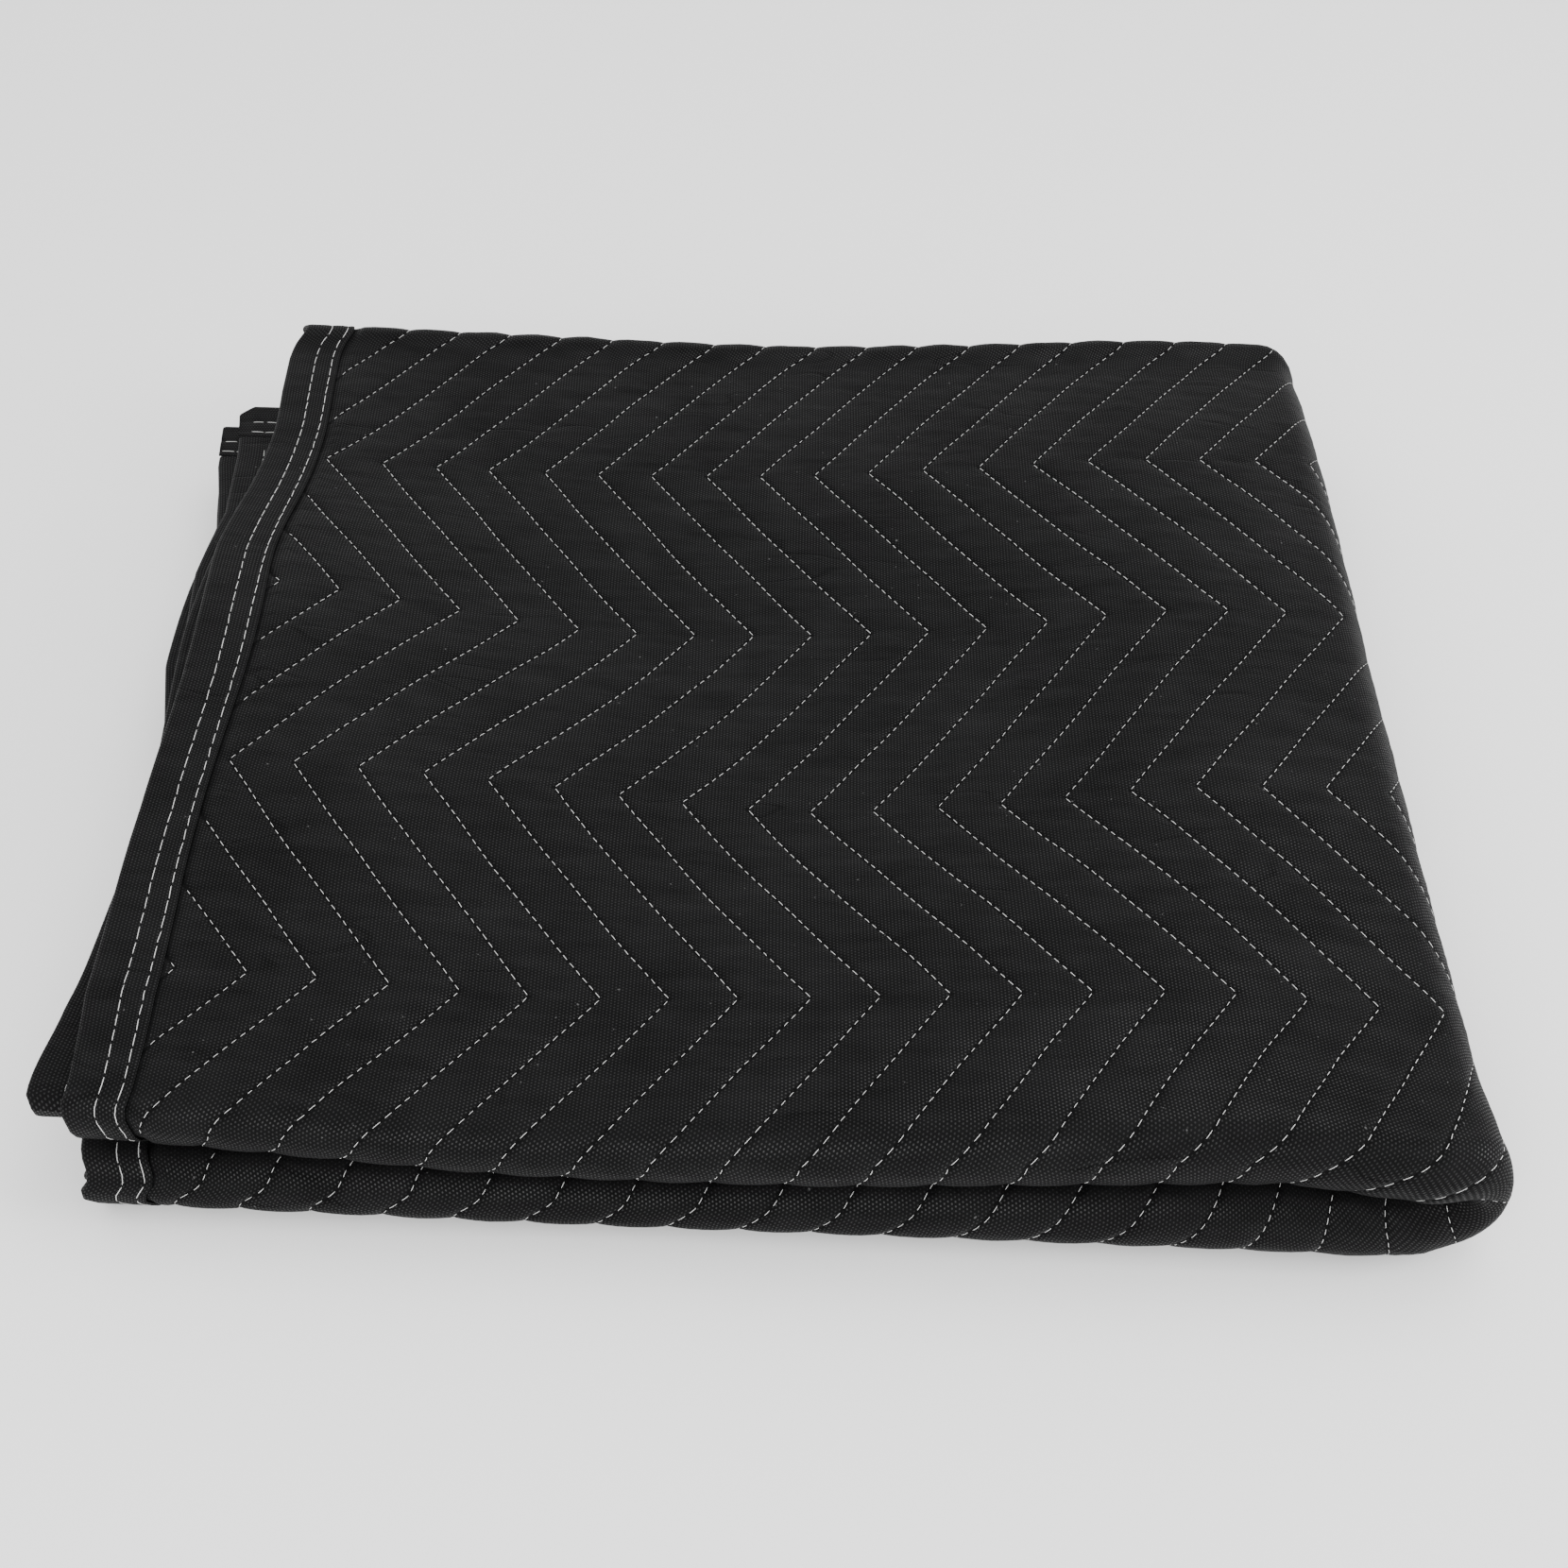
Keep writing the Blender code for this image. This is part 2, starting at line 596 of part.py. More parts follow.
def main():
    for thing in list(bpy.data.objects):
        bpy.data.objects.remove(thing)
    cloth = cloth_material("embossed_black_cloth", (0.018, 0.018, 0.019), 0.9)
    tape = cloth_material("black_binding_cloth", (0.016, 0.016, 0.017), 0.85)
    things = [add_object("quilted_pad", *pad_mesh(), cloth)]
    sides = (("outer", lambda d, s: (np.full_like(s, d), s), True),
             ("table", lambda d, s: (np.full_like(s, WIDTH - d), s), False))
    for which, place, flip in sides:
        strip = strip_mesh(side_stations(), place, flip)
        things.append(add_object(f"side_binding_{which}", *strip, tape))
    ends = (("lower", 0.0, lambda d, s: (s, np.full_like(s, d)), False),
            ("third", LENGTH, lambda d, s: (s, np.full_like(s, LENGTH - d)), True))
    for which, v, place, flip in ends:
        strip = strip_mesh(end_stations(v), place, flip)
        things.append(add_object(f"end_binding_{which}", *strip, tape))
    stand_on_origin(things)


main()
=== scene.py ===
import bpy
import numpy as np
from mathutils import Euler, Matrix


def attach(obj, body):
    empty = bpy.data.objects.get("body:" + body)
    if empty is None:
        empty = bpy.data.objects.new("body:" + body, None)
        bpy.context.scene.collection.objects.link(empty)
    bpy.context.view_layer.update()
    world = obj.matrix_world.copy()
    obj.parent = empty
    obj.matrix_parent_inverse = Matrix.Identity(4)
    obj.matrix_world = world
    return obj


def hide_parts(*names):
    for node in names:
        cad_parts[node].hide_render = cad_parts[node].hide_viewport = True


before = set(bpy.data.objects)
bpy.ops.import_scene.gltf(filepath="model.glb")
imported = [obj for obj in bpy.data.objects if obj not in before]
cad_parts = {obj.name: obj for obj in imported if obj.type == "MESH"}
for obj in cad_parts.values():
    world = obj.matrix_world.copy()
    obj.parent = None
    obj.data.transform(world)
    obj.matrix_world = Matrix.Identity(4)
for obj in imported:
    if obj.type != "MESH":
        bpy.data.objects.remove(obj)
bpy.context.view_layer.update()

# A quilted moving pad, folded in four along its length and then once across its width. The pad is
# worked out flat, with u across the width and v along the length, and every flat point is carried
# to its place in the folded stack. The pad's open side edges face -X. Units are metres.

# The flat pad
WIDTH = 1.026
LENGTH = 1.804
BINDING_WIDTH = 0.023

# The quilting: zigzag stitch lines along the length, one inch apart
LINE_PITCH = 0.0254
ZIGZAG_LEG = 0.1016
ZIGZAG_REACH = 0.0762
FIRST_LINE = 0.0277

# Thickness, all measured from the cloth's middle surface to one face, and the ramps between
PUFF_HALF = 0.0025
STITCHED_HALF = 0.0014
FOLD_HALF = 0.0017
HIDDEN_HALF = 0.0018
FOLD_RAMP = (0.004, 0.014)
SEEN_RAMP = 0.02
LIFT_OFF = 0.004
BOUND_HALF = 0.0008
BINDING_GAP = 0.0007
BINDING_PLY = 0.0007
BINDING_LIP = 0.0014

# The folded stack
LAYER_PITCH = 0.00725
HALF_STACK = 4 * LAYER_PITCH
INNER_LAYER, OUTER_LAYER = 0.5, 3.5
FRONT_AXIS_Y = -0.230
BACK_AXIS_Y = 0.2235
LOWER_START_Y = 0.181
SIDE_AXIS_X = 0.2355
OUTSIDE_SQUEEZE = 0.3
FRONT_SKEW = -0.029
BACK_SKEW = -0.022
BACK_SKEW_Y = (0.01, 0.23)
SKEW_END_Y = 0.16

# The back bend is a loop that stands a little higher than its two layers: its radius, how far the
# cloth turns away before it, the radius that brings it back to its layers, and where the table
# presses the lower one flat
LOOP_RADIUS = LAYER_PITCH
LOOP_TURN = np.radians(25)
SWELL_RADIUS = (LOOP_RADIUS * np.cos(LOOP_TURN) - LAYER_PITCH / 2) / (1 - np.cos(LOOP_TURN))
PRESSED_REACH = 0.010
RUN = BACK_AXIS_Y - (SWELL_RADIUS + LOOP_RADIUS) * np.sin(LOOP_TURN) - FRONT_AXIS_Y

# The walk along the length: each stretch's length, and its half turns (minus turns up and over)
OUTER_BEND = 1.5 * np.pi * LAYER_PITCH
INNER_BEND = 0.5 * np.pi * LAYER_PITCH
SWELL = SWELL_RADIUS * LOOP_TURN
HALF_LOOP = LOOP_RADIUS * (np.pi / 2 + LOOP_TURN)
STRETCHES = (
    ("lower run", LOWER_START_Y - FRONT_AXIS_Y, 0),
    ("outer front bend", OUTER_BEND, -1),
    ("outside run", RUN, 0),
    ("back swell", SWELL, LOOP_TURN / np.pi),
    ("back loop", HALF_LOOP, -0.5 - LOOP_TURN / np.pi),
    ("hidden back loop", HALF_LOOP, -0.5 - LOOP_TURN / np.pi),
    ("hidden back swell", SWELL, LOOP_TURN / np.pi),
    ("second run", RUN, 0),
    ("inner front bend", INNER_BEND, 1),
    ("third run", 1.0, 0),
)
OUTSIDE_START = LOWER_START_Y - FRONT_AXIS_Y + OUTER_BEND
QUILTED = (OUTSIDE_START - OUTER_BEND, OUTSIDE_START + RUN + SWELL + HALF_LOOP)
CORNER_ROW_Y = 0.129

# Height of the top face over the level stack, in mm, read across at rows from back to front
RELIEF_X = (-0.25, 0.25)
RELIEF_Y = (0.230, -0.278)
RELIEF_MM = (
    # left  ...  middle  ...  right
    (6.5, 4.5, 2, 0.5, 3.5, 8.5, 9.5),
    (3, -1, -3, -1.5, 6, 13.5, 14),
    (12, 6, -9, -10, -3.5, 10, 9),
    (8, 8, -1.5, -12, -4, 11, 11),
    (6, 3, -4, 0.5, 9, 14, 5),
    (0, -2, -2, 1, 5, 7, 2),
)
LEVEL_STACK = 0.058

# The open edges, at places from front to back: how far all are drawn in from a straight line,
# and how much further each inner layer is drawn in from the staircase that the side fold makes.
# Near the front bends, where the layers hold each other, the inner layers are drawn in all across
EDGE_Y = (-0.24, -0.19, -0.10, 0.00, 0.05, 0.10, 0.15, 0.18, 0.205, 0.26)
EDGE_IN_MM = (4.5, -1, 0, -3, -4, -1, -0.5, -2, -2, 3)
LAYER_IN_MM = (
    (0, 0, 0, 0, 0, 0, 0, 0, 0, 0),
    (5, 5, 5, 3, 3, 5, 8, 9, 9, 9),
    (17, 16, 16, 7, 4, 5, -2, -6, 17, 17),
    (28, 26, 27, 11, 11, 8, -2, -3, 17, 17),
)
OPEN_EDGE_X = -0.25
EDGE_FROM_X = -0.19
DRIFT_END_X = 0.16
FRONT_DRIFT_X = (0.10, 0.245)
FRONT_DRIFT_REACH = 0.05
EDGE_WAVE = 0.0012
EDGE_WAVE_LENGTH = 0.17
EDGE_WAVE_LAYERS = 0.58

# The side fold, at places from front to back: how far it stands out from a straight line
FOLD_Y = (-0.26, -0.20, -0.10, 0.00, 0.05, 0.10, 0.20)
FOLD_OUT_MM = (4, -3.4, -4.2, -3, -1.2, -0.8, -0.5)

# The layers inside the stack sag and rise a little along the depth
SAG = 0.0012
SAG_LENGTH = 0.19

# The front edge is drawn back where the side fold rounds it off
CORNER_X = (0.212, 0.262)
CORNER_BACK = 0.010
CORNER_REACH_Y = 0.09

# The back edge and the side fold round each other off: from what x and y, and how far in
BACK_CORNER_FROM = (0.185, 0.190)
BACK_CORNER_IN = (0.0012, 0.0012)

# In the upper half the front end of the inner fold stands out at the open edge, and the lower
# part of the outer bend is tucked in: where, how far that reaches, and how far out or in
INNER_FOLD_LAYER = 6
INNER_FOLD = (-0.236, 0.038, 0.0145)
TUCK_Y = (-0.262, 0.034)
TUCK_LAYER = (4.0, 1.8)
TUCK_IN = 0.003

# The lower half's open edges are drawn in at the back
LOWER_IN = 0.006
LOWER_IN_Y = (0.160, 0.210)

# How far the upper layers' front edge lies back from the lower layers' one
UPPER_BACK_X = (-0.25, -0.19, -0.12, 0.00, 0.08, 0.16, 0.21, 0.235)
UPPER_BACK_MM = (7, 5, 2, 1, 3, 6, 3, 0)
UPPER_BACK_REACH = 0.07

# The cloth is pushed back a little where it humps at the open edges
PUSH = 0.010
PUSH_CENTRE = (-0.25, 0.03)
PUSH_REACH = (0.07, 0.09)

# From the middle of the fold lines' axes to the middle of the stack's box
STACK_CENTRE = (-0.01193, -0.00506, 0.0)

# The zigzag's rows of corners, its lines, and how much longer a line is than its run along v
FIRST_CORNER = OUTSIDE_START + CORNER_ROW_Y - FRONT_AXIS_Y
CORNER_ROWS = range(-6, 6)
LINES = range(-4, int(WIDTH / LINE_PITCH) + 1)
LEG_LENGTH = np.hypot(ZIGZAG_LEG, ZIGZAG_REACH)
SLANT = LEG_LENGTH / ZIGZAG_LEG

# The puffs' roundness, what is left of them in the side fold, and of the grooves on the table
PUFF_POWER = 0.6
FOLD_PUFF_SHARE = 0.4
UNDER_GROOVE = 0.5

# Wrinkles across the channels: least and most height, how far the most reaches from the side fold
# and the back, then each wave's length along the line, change from channel to channel and share
PUCKER = (0.00007, 0.00030)
PUCKER_REACH = (0.20, 0.16)
PUCKER_WAVES = ((0.0092, 0.37, 0.6), (0.0131, 0.71, 0.5), (0.0277, 0.23, 0.5))
PUCKER_LEAN = 0.9

# Mesh steps of the fine surfaces: rows along v where the cloth shows and where it is hidden, with
# how far the fine rows go on past what shows, and how far from its ends the table side is plain
FINE_ROW = 0.0026
HIDDEN_ROW = 0.030
SEEN_MARGIN = 0.030
UNDER_MARGIN = 0.020

# Columns between two stitch lines, the least gap to their neighbours, and columns round the side
# fold, hidden and shown, with how far they go on past it
COLUMN_PHASES = (0.0, 0.05, 0.14, 0.30, 0.50, 0.70, 0.86, 0.95)
COLUMN_GAP = 0.0004
FOLD_COLUMNS = (9, 17)
FOLD_MARGIN = 0.0015

# By the bindings: the ramp from bound to puffed cloth, and from where the table presses it flat
EDGE_RAMP = (0.0010, 0.0050)
PRESSED_FROM = 0.0005

# The step that normals are measured over, and what counts as no difference in v or in a key
NORMAL_STEP = 0.0002
TINY = 1e-6
KEY_TIE = 1e-9

# The binding's section: how its inner edge is rounded and drops, the swell of its face between
# the dips of its stitch rows, the lip round the cut edge, and keys of its four inside corners
BINDING_ROW = 0.0036
BINDING_ROWS = (0.0118, 0.0196)
BINDING_EDGE = (0.0005, 0.00035)
FACE_FROM = 0.0016
FACE_POINTS = 15
FACE_SWELL = 0.00012
ROW_DIP = 0.00035
ROW_DIP_REACH = 0.0011
LIP_FROM = 0.0006
LIP_POINTS = 9
INNER_KEYS = (0, 0.499, 0.501, 1)

# The binding's inner edge wanders a little, in waves of so many radians for each metre
WANDER = 0.0004
WANDER_WAVES = (41, 17)

# Quilting thread: the share of each pitch that shows on the legs that rise and fall, and two
# waves that lead a line astray, with their size, length and change from line to line
STITCH_PITCH = 0.00423
STITCH_SHARES = (0.58, 0.66)
THREAD_RADIUS = 0.0001
LINE_WOBBLE = ((0.00032, 0.083, 0.37), (0.00022, 0.041, 0.71))

# How far the stitches are made past what shows, how far from the bindings the lines end, and from
# how far off the side fold's middle they count to the table side
SEWN_PAST = (0.012, 0.006)
LINE_END = 0.0022
TABLE_FROM = 0.03

# Binding thread, how deep it sinks in, where its rows end, and the step that gives their way
BINDING_STITCH_PITCH = 0.0070
BINDING_STITCH_SHARE = 0.86
BINDING_THREAD_RADIUS = 0.00013
BINDING_THREAD_SUNK = 0.0001
BINDING_ROW_END = 0.003
AHEAD = 0.001

# A stitch from end to end: place along it, height over the cloth and thickness, both in radii
STITCH_SHAPE = (
    (-0.50, -1.3, 0.55),
    (-0.36, 0.2, 1.0),
    (0.0, 0.55, 1.06),
    (0.36, 0.2, 1.0),
    (0.50, -1.3, 0.55),
)
STITCH_SIDES = 5
STITCH_FLATNESS = 0.85
STITCH_UNEVEN = (0.07, 0.035)
OVER_TABLE = 0.00005
SEED = 7

# Embossed dots of the cloth: their columns and rows, and the ramp from dot to plain cloth
DOT_PITCH = 0.0026
DOT_ROW_PITCH = 0.00067
DOT_EDGE = (0.00020, 0.00042)

# Patterns of noise: level, scale, detail, roughness. Some are drawn out across the width
FIBRE = (0.0, 1500.0, 3.0, 0.6)
CLOUDS = (1.0, 14.0, 3.0, 0.55)
BLOTCHES = (2.0, 70.0, 4.0, 0.6)
CREASES = (3.0, 190.0, 4.0, 0.6)
GATHERS = (5.0, 210.0, 2.0, 0.5)
LINT = (7.0, 420.0, 1.0, 0.4)
STREAKS = (9.0, 120.0, 4.0, 0.65)
PRESSED_LINE = (11.0, 30.0, 2.0, 0.5)
PRESSED_WHERE = (13.0, 22.0, 2.0, 0.5)
FUZZ = (0.0, 2600.0, 2.0, 0.6)
CREASE_STRETCH = 0.35
STREAK_STRETCH = 0.22
LINE_STRETCH = 0.30
GATHER_STRETCH = 0.004
CHANNEL_SHIFT = 0.37

# Ramps of the patterns and of the distance to a stitch line
PRESSED_LINE_EDGE = (0.001, 0.016)
PRESSED_WHERE_EDGE = (0.52, 0.66)
LINT_EDGE = (0.785, 0.82)
GATHER_EDGE = (0.002, 0.011)
GROOVE_EDGE = (0.0002, 0.0026)
SEAM_SHADE_EDGE = (0.0002, 0.0011)

# Heights in the bump, and each bump's strength and distance
GATHER_HEIGHT = 0.6
GROOVE_DEPTH = 0.8
QUILTED_LINE_DEPTH = 0.8
BINDING_LINE_DEPTH = 1.0
DOT_HEIGHT = 0.5
FIBRE_HEIGHT = 0.35
QUILTED_BUMP = (0.9, 0.0008)
BINDING_BUMP = (0.8, 0.0006)
DOT_BUMP = (0.8, 0.00014)
THREAD_BUMP = (0.5, 0.00008)

# The cloth's tone, from dark at 0 to pale at 1, and how much each pattern shows in it. Part of the tone
# is painted light and shade: a painted sheen on the dots, painted shade along the stitch lines and the
# pressed lines, and painted light and shade of the larger creases in the clouds, blotches and streaks
TONE_LEVEL = 0.30
# Painted sheen: the dots are painted paler than the rest of the cloth, on top of their gloss
DOT_PAINTED_SHEEN = 0.4
# Painted shade: the cloth is painted darker along the stitch lines, in their grooves and needle holes
SEAM_PAINTED_SHADE = 0.5
# Painted shade: the pressed lines, creased in the bump, are also painted darker
CREASE_LINE_SHADE = 0.3
# Painted light and shade of the larger creases: clouds, blotches and streaks in the tone
CLOUD_CREASE_SHADE = 0.9
BLOTCH_CREASE_SHADE = 0.7
STREAK_CREASE_SHADE = 1.0
FIBRE_TONE = 0.7
CLOTH_DARK = (0.0016, 0.0016, 0.0017)
CLOTH_PALE = (0.0076, 0.0076, 0.0079)
LINT_COLOUR = (0.22, 0.22, 0.22)
LINT_SHARE = 0.25

# The cloth's gloss, most of it on the dots
CLOTH_ROUGHNESS = 0.78
DOT_SMOOTHER = 0.2
BLOTCH_ROUGHER = 0.1
CLOTH_SPECULAR = 0.06
DOT_GLOSS = 0.33
STREAK_GLOSS = 0.5
GLOSS_ROUGHNESS = 0.34
CLOTH_SHEEN = 0.012
CLOTH_SHEEN_ROUGHNESS = 0.45
CLOTH_SHEEN_TINT = (0.8, 0.8, 0.82, 1)

# The thread's look: its way round in the flat places, the shift from stitch to stitch, a full turn
# in radians, the length of a ply's turn, and how much plies and fuzz show in the tone
THREAD_ROUND = 0.002
THREAD_STAGGER = 0.013
FULL_TURN = 6.2832
PLY_PITCH = 0.0009
PLY_TONE = 0.22
FUZZ_TONE = 0.8
THREAD_TONE = 0.62
THREAD_DARK = (0.40, 0.40, 0.395)
THREAD_PALE = (0.84, 0.84, 0.83)
THREAD_ROUGHNESS = 0.72
FUZZ_ROUGHER = 0.2
THREAD_SHEEN = 0.1

# Edges sharper than this many degrees stay sharp
CLOTH_SMOOTH = 60
TAPE_SMOOTH = 50
THREAD_SMOOTH = 80

# Floor, sky, lights and camera
FLOOR_SIZE = 12
FLOOR_COLOUR = (0.93, 0.93, 0.93, 1)
FLOOR_ROUGHNESS = 0.9
FLOOR_SPECULAR = 0.1
SKY_STRENGTH = 1.55
LIGHTS = (
    # name, place, turn in degrees, size, power
    ("key", (0.5, 0.35, 1.6), (-12, 17, 0), 1.1, 10),
    ("front", (-0.3, -1.25, 0.9), (55, 0, -13), 1.0, 13),
    ("side", (1.5, -0.3, 0.7), (0, 68, 0), 0.9, 16),
)
CAMERA_SENSOR = 36.0
CAMERA_LENS = 44.07
CAMERA_CLIP = 0.01
CAMERA_PLACE = (0.0080, -0.5901, 0.6082)
CAMERA_TURN = (43.2994, -0.2531, 0.8904)


def smoothstep(value):
    """0 up to 0, 1 from 1 on, and eased between."""
    value = np.clip(value, 0, 1)
    return value * value * (3 - 2 * value)


def walk(v):
    """The place along Y, and the height over the stack's middle, of a point at v along the pad."""
    y_out = np.zeros_like(v)
    r_out = np.zeros_like(v)
    start, y, r, heading = 0.0, LOWER_START_Y, INNER_LAYER * LAYER_PITCH, np.pi
    for _, length, half_turns in STRETCHES:
        inside = (v >= start) if start > 0 else np.ones_like(v, bool)
        along = v[inside] - start
        turn = half_turns * np.pi
        if turn == 0:
            y_out[inside] = y + np.cos(heading) * along
            r_out[inside] = r + np.sin(heading) * along
            y += np.cos(heading) * length
            r += np.sin(heading) * length
        else:
            radius = length / turn
            angle = heading + along / radius
            y_out[inside] = y + radius * (np.sin(angle) - np.sin(heading))
            r_out[inside] = r - radius * (np.cos(angle) - np.cos(heading))
            y += radius * (np.sin(heading + turn) - np.sin(heading))
            r -= radius * (np.cos(heading + turn) - np.cos(heading))
            heading += turn
        start += length
    return y_out, r_out


def side_bend(r):
    """The side fold is a half ellipse: a quarter's length, and how far it stands out in X."""
    outer = (r / LAYER_PITCH - INNER_LAYER) / (OUTER_LAYER - INNER_LAYER)
    half_wide = r * (1 - OUTSIDE_SQUEEZE * outer)
    return np.pi / 2 * np.sqrt((half_wide**2 + r**2) / 2), half_wide


def fold_sideways(u, r):
    """Across the width: flat, then round the side fold, then back below the stack's middle."""
    from_fold = np.abs(u - WIDTH / 2)
    bend, half_wide = side_bend(r)
    angle = np.clip(from_fold / bend, 0, 1) * np.pi / 2
    x = SIDE_AXIS_X + half_wide * np.cos(angle) - np.maximum(from_fold - bend, 0)
    z = HALF_STACK + np.sign(WIDTH / 2 - u) * r * np.sin(angle)
    return x, z


def pressed_loop(y, z):
    """The back loop of the lower half is pressed flat, so that it doesn't dip under its layer."""
    pressed = smoothstep((y - FRONT_AXIS_Y - RUN) / PRESSED_REACH)
    return z + 0.5 * pressed * np.maximum(LOOP_RADIUS - z, 0)


def spline_weights(where, count):
    """Catmull-Rom weights of a row of evenly spaced values, for places from 0 to count - 1."""
    where = np.clip(where, 0, count - 1)
    cell = np.minimum(where.astype(int), count - 2)
    t = where - cell
    parts = (
        -0.5 * t + t**2 - 0.5 * t**3,
        1 - 2.5 * t**2 + 1.5 * t**3,
        0.5 * t + 2 * t**2 - 1.5 * t**3,
        -0.5 * t**2 + 0.5 * t**3,
    )
    weights = np.zeros(where.shape + (count,))
    for shift, part in zip((-1, 0, 1, 2), parts):
        index = np.clip(cell + shift, 0, count - 1)
        np.put_along_axis(
            weights,
            index[..., None],
            np.take_along_axis(weights, index[..., None], -1) + part[..., None],
            -1,
        )
    return weights


def top_height(x, y):
    """Height of the top face over the table."""
    table = np.array(RELIEF_MM) / 1000
    rows, columns = table.shape
    across = (x - RELIEF_X[0]) / (RELIEF_X[1] - RELIEF_X[0]) * (columns - 1)
    deep = (y - RELIEF_Y[0]) / (RELIEF_Y[1] - RELIEF_Y[0]) * (rows - 1)
    relief = np.einsum(
        "...r,rc,...c->...", spline_weights(deep, rows), table, spline_weights(across, columns)
    )
    return LEVEL_STACK + relief


def settle(x, y, z):
    """The stack as it lies: hollowed and humped, skewed, its open edges and folds uneven."""
    r = np.abs(z - HALF_STACK)
    layer = np.clip(OUTER_LAYER - r / LAYER_PITCH, 0, len(LAYER_IN_MM) - 1)
    left = smoothstep((DRIFT_END_X - x) / (DRIFT_END_X - OPEN_EDGE_X))
    across = smoothstep((FRONT_DRIFT_X[1] - x) / (FRONT_DRIFT_X[1] - FRONT_DRIFT_X[0]))
    near = smoothstep((FRONT_AXIS_Y + FRONT_DRIFT_REACH - y) / FRONT_DRIFT_REACH)
    drawn = left + (across - left) * near
    edge = smoothstep((EDGE_FROM_X - x) / (EDGE_FROM_X - OPEN_EDGE_X))
    edge_in = edge * np.interp(y, EDGE_Y, EDGE_IN_MM) / 1000
    fold_out = smoothstep(x / SIDE_AXIS_X) * np.interp(y, FOLD_Y, FOLD_OUT_MM) / 1000
    layer_in = [np.interp(y, EDGE_Y, row) / 1000 for row in LAYER_IN_MM]
    layer_in = sum(np.maximum(1 - np.abs(layer - k), 0) * row for k, row in enumerate(layer_in))
    inwards = edge_in + drawn * layer_in
    upper = z > HALF_STACK
    lower_in = smoothstep((y - LOWER_IN_Y[0]) / (LOWER_IN_Y[1] - LOWER_IN_Y[0]))
    inwards = inwards + LOWER_IN * edge * lower_in * smoothstep(OUTER_LAYER - z / LAYER_PITCH)
    ring = np.hypot(np.minimum(y - FRONT_AXIS_Y, 0), z - INNER_FOLD_LAYER * LAYER_PITCH) / LAYER_PITCH
    near = ((ring - 0.5) / 0.5) ** 2 + ((y - INNER_FOLD[0]) / INNER_FOLD[1]) ** 2
    inwards = inwards - INNER_FOLD[2] * edge * upper * np.exp(-near)
    near = ((z / LAYER_PITCH - TUCK_LAYER[0]) / TUCK_LAYER[1]) ** 2 + ((y - TUCK_Y[0]) / TUCK_Y[1]) ** 2
    inwards = inwards + TUCK_IN * edge * upper * np.exp(-near)
    wave = EDGE_WAVE * np.sin(2 * np.pi * (y / EDGE_WAVE_LENGTH + EDGE_WAVE_LAYERS * z / LAYER_PITCH))
    front = smoothstep((SKEW_END_Y - y) / (SKEW_END_Y - FRONT_AXIS_Y))
    back = smoothstep((y - BACK_SKEW_Y[0]) / (BACK_SKEW_Y[1] - BACK_SKEW_Y[0]))
    corner = smoothstep((x - CORNER_X[0]) / (CORNER_X[1] - CORNER_X[0]))
    corner = corner * smoothstep((FRONT_AXIS_Y + CORNER_REACH_Y - y) / CORNER_REACH_Y)
    from_x, from_y = BACK_CORNER_FROM
    round_off = (np.maximum(x - from_x, 0) / (SIDE_AXIS_X - from_x)) ** 2
    round_off = round_off * (np.maximum(y - from_y, 0) / (BACK_AXIS_Y - from_y)) ** 2
    push = np.exp(-(((x - PUSH_CENTRE[0]) / PUSH_REACH[0]) ** 2))
    push = push * np.exp(-(((y - PUSH_CENTRE[1]) / PUSH_REACH[1]) ** 2))
    new_x = x + inwards + left * wave + fold_out - BACK_CORNER_IN[0] * round_off
    new_y = y + (FRONT_SKEW * front + BACK_SKEW * back) * x + CORNER_BACK * corner + PUSH * push
    new_y = new_y - BACK_CORNER_IN[1] * round_off
    upper_back = np.interp(x, UPPER_BACK_X, UPPER_BACK_MM) / 1000 * upper
    new_y = new_y + upper_back * smoothstep((FRONT_AXIS_Y + UPPER_BACK_REACH - y) / UPPER_BACK_REACH)
    sag = SAG * np.sin(2 * np.pi * (y / SAG_LENGTH + x)) * np.sin(np.pi * z / (2 * HALF_STACK)) ** 2
    new_z = z * top_height(x, y) / (2 * HALF_STACK) + sag
    return new_x, new_y, new_z


def middle(u, v):
    """The cloth's middle surface."""
    y, r = walk(v)
    x, z = fold_sideways(u, r)
    return np.stack(settle(x, y, pressed_loop(y, z)), -1)


def facing(u, v):
    """Unit normals of the middle surface, up on the top layer."""
    step = NORMAL_STEP
    across = middle(u + step, v) - middle(u - step, v)
    along = middle(u, v + step) - middle(u, v - step)
    normal = np.cross(across, along)
    return normal / np.linalg.norm(normal, axis=-1, keepdims=True)


def zigzag(v):
    """Sideways shift of the stitch lines, 0 at one row of corners and 1 at the next."""
    row = (v - FIRST_CORNER) / ZIGZAG_LEG
    return np.abs((row + 1) % 2 - 1)


def line_phase(u, v):
    """0 on a stitch line, 1 on the next."""
    return (u - FIRST_LINE - ZIGZAG_REACH * zigzag(v)) / LINE_PITCH


def to_cut_edge(u, v):
    """Distance to the nearest edge of the flat pad."""
    return np.minimum(np.minimum(u, WIDTH - u), np.minimum(v, LENGTH - v))


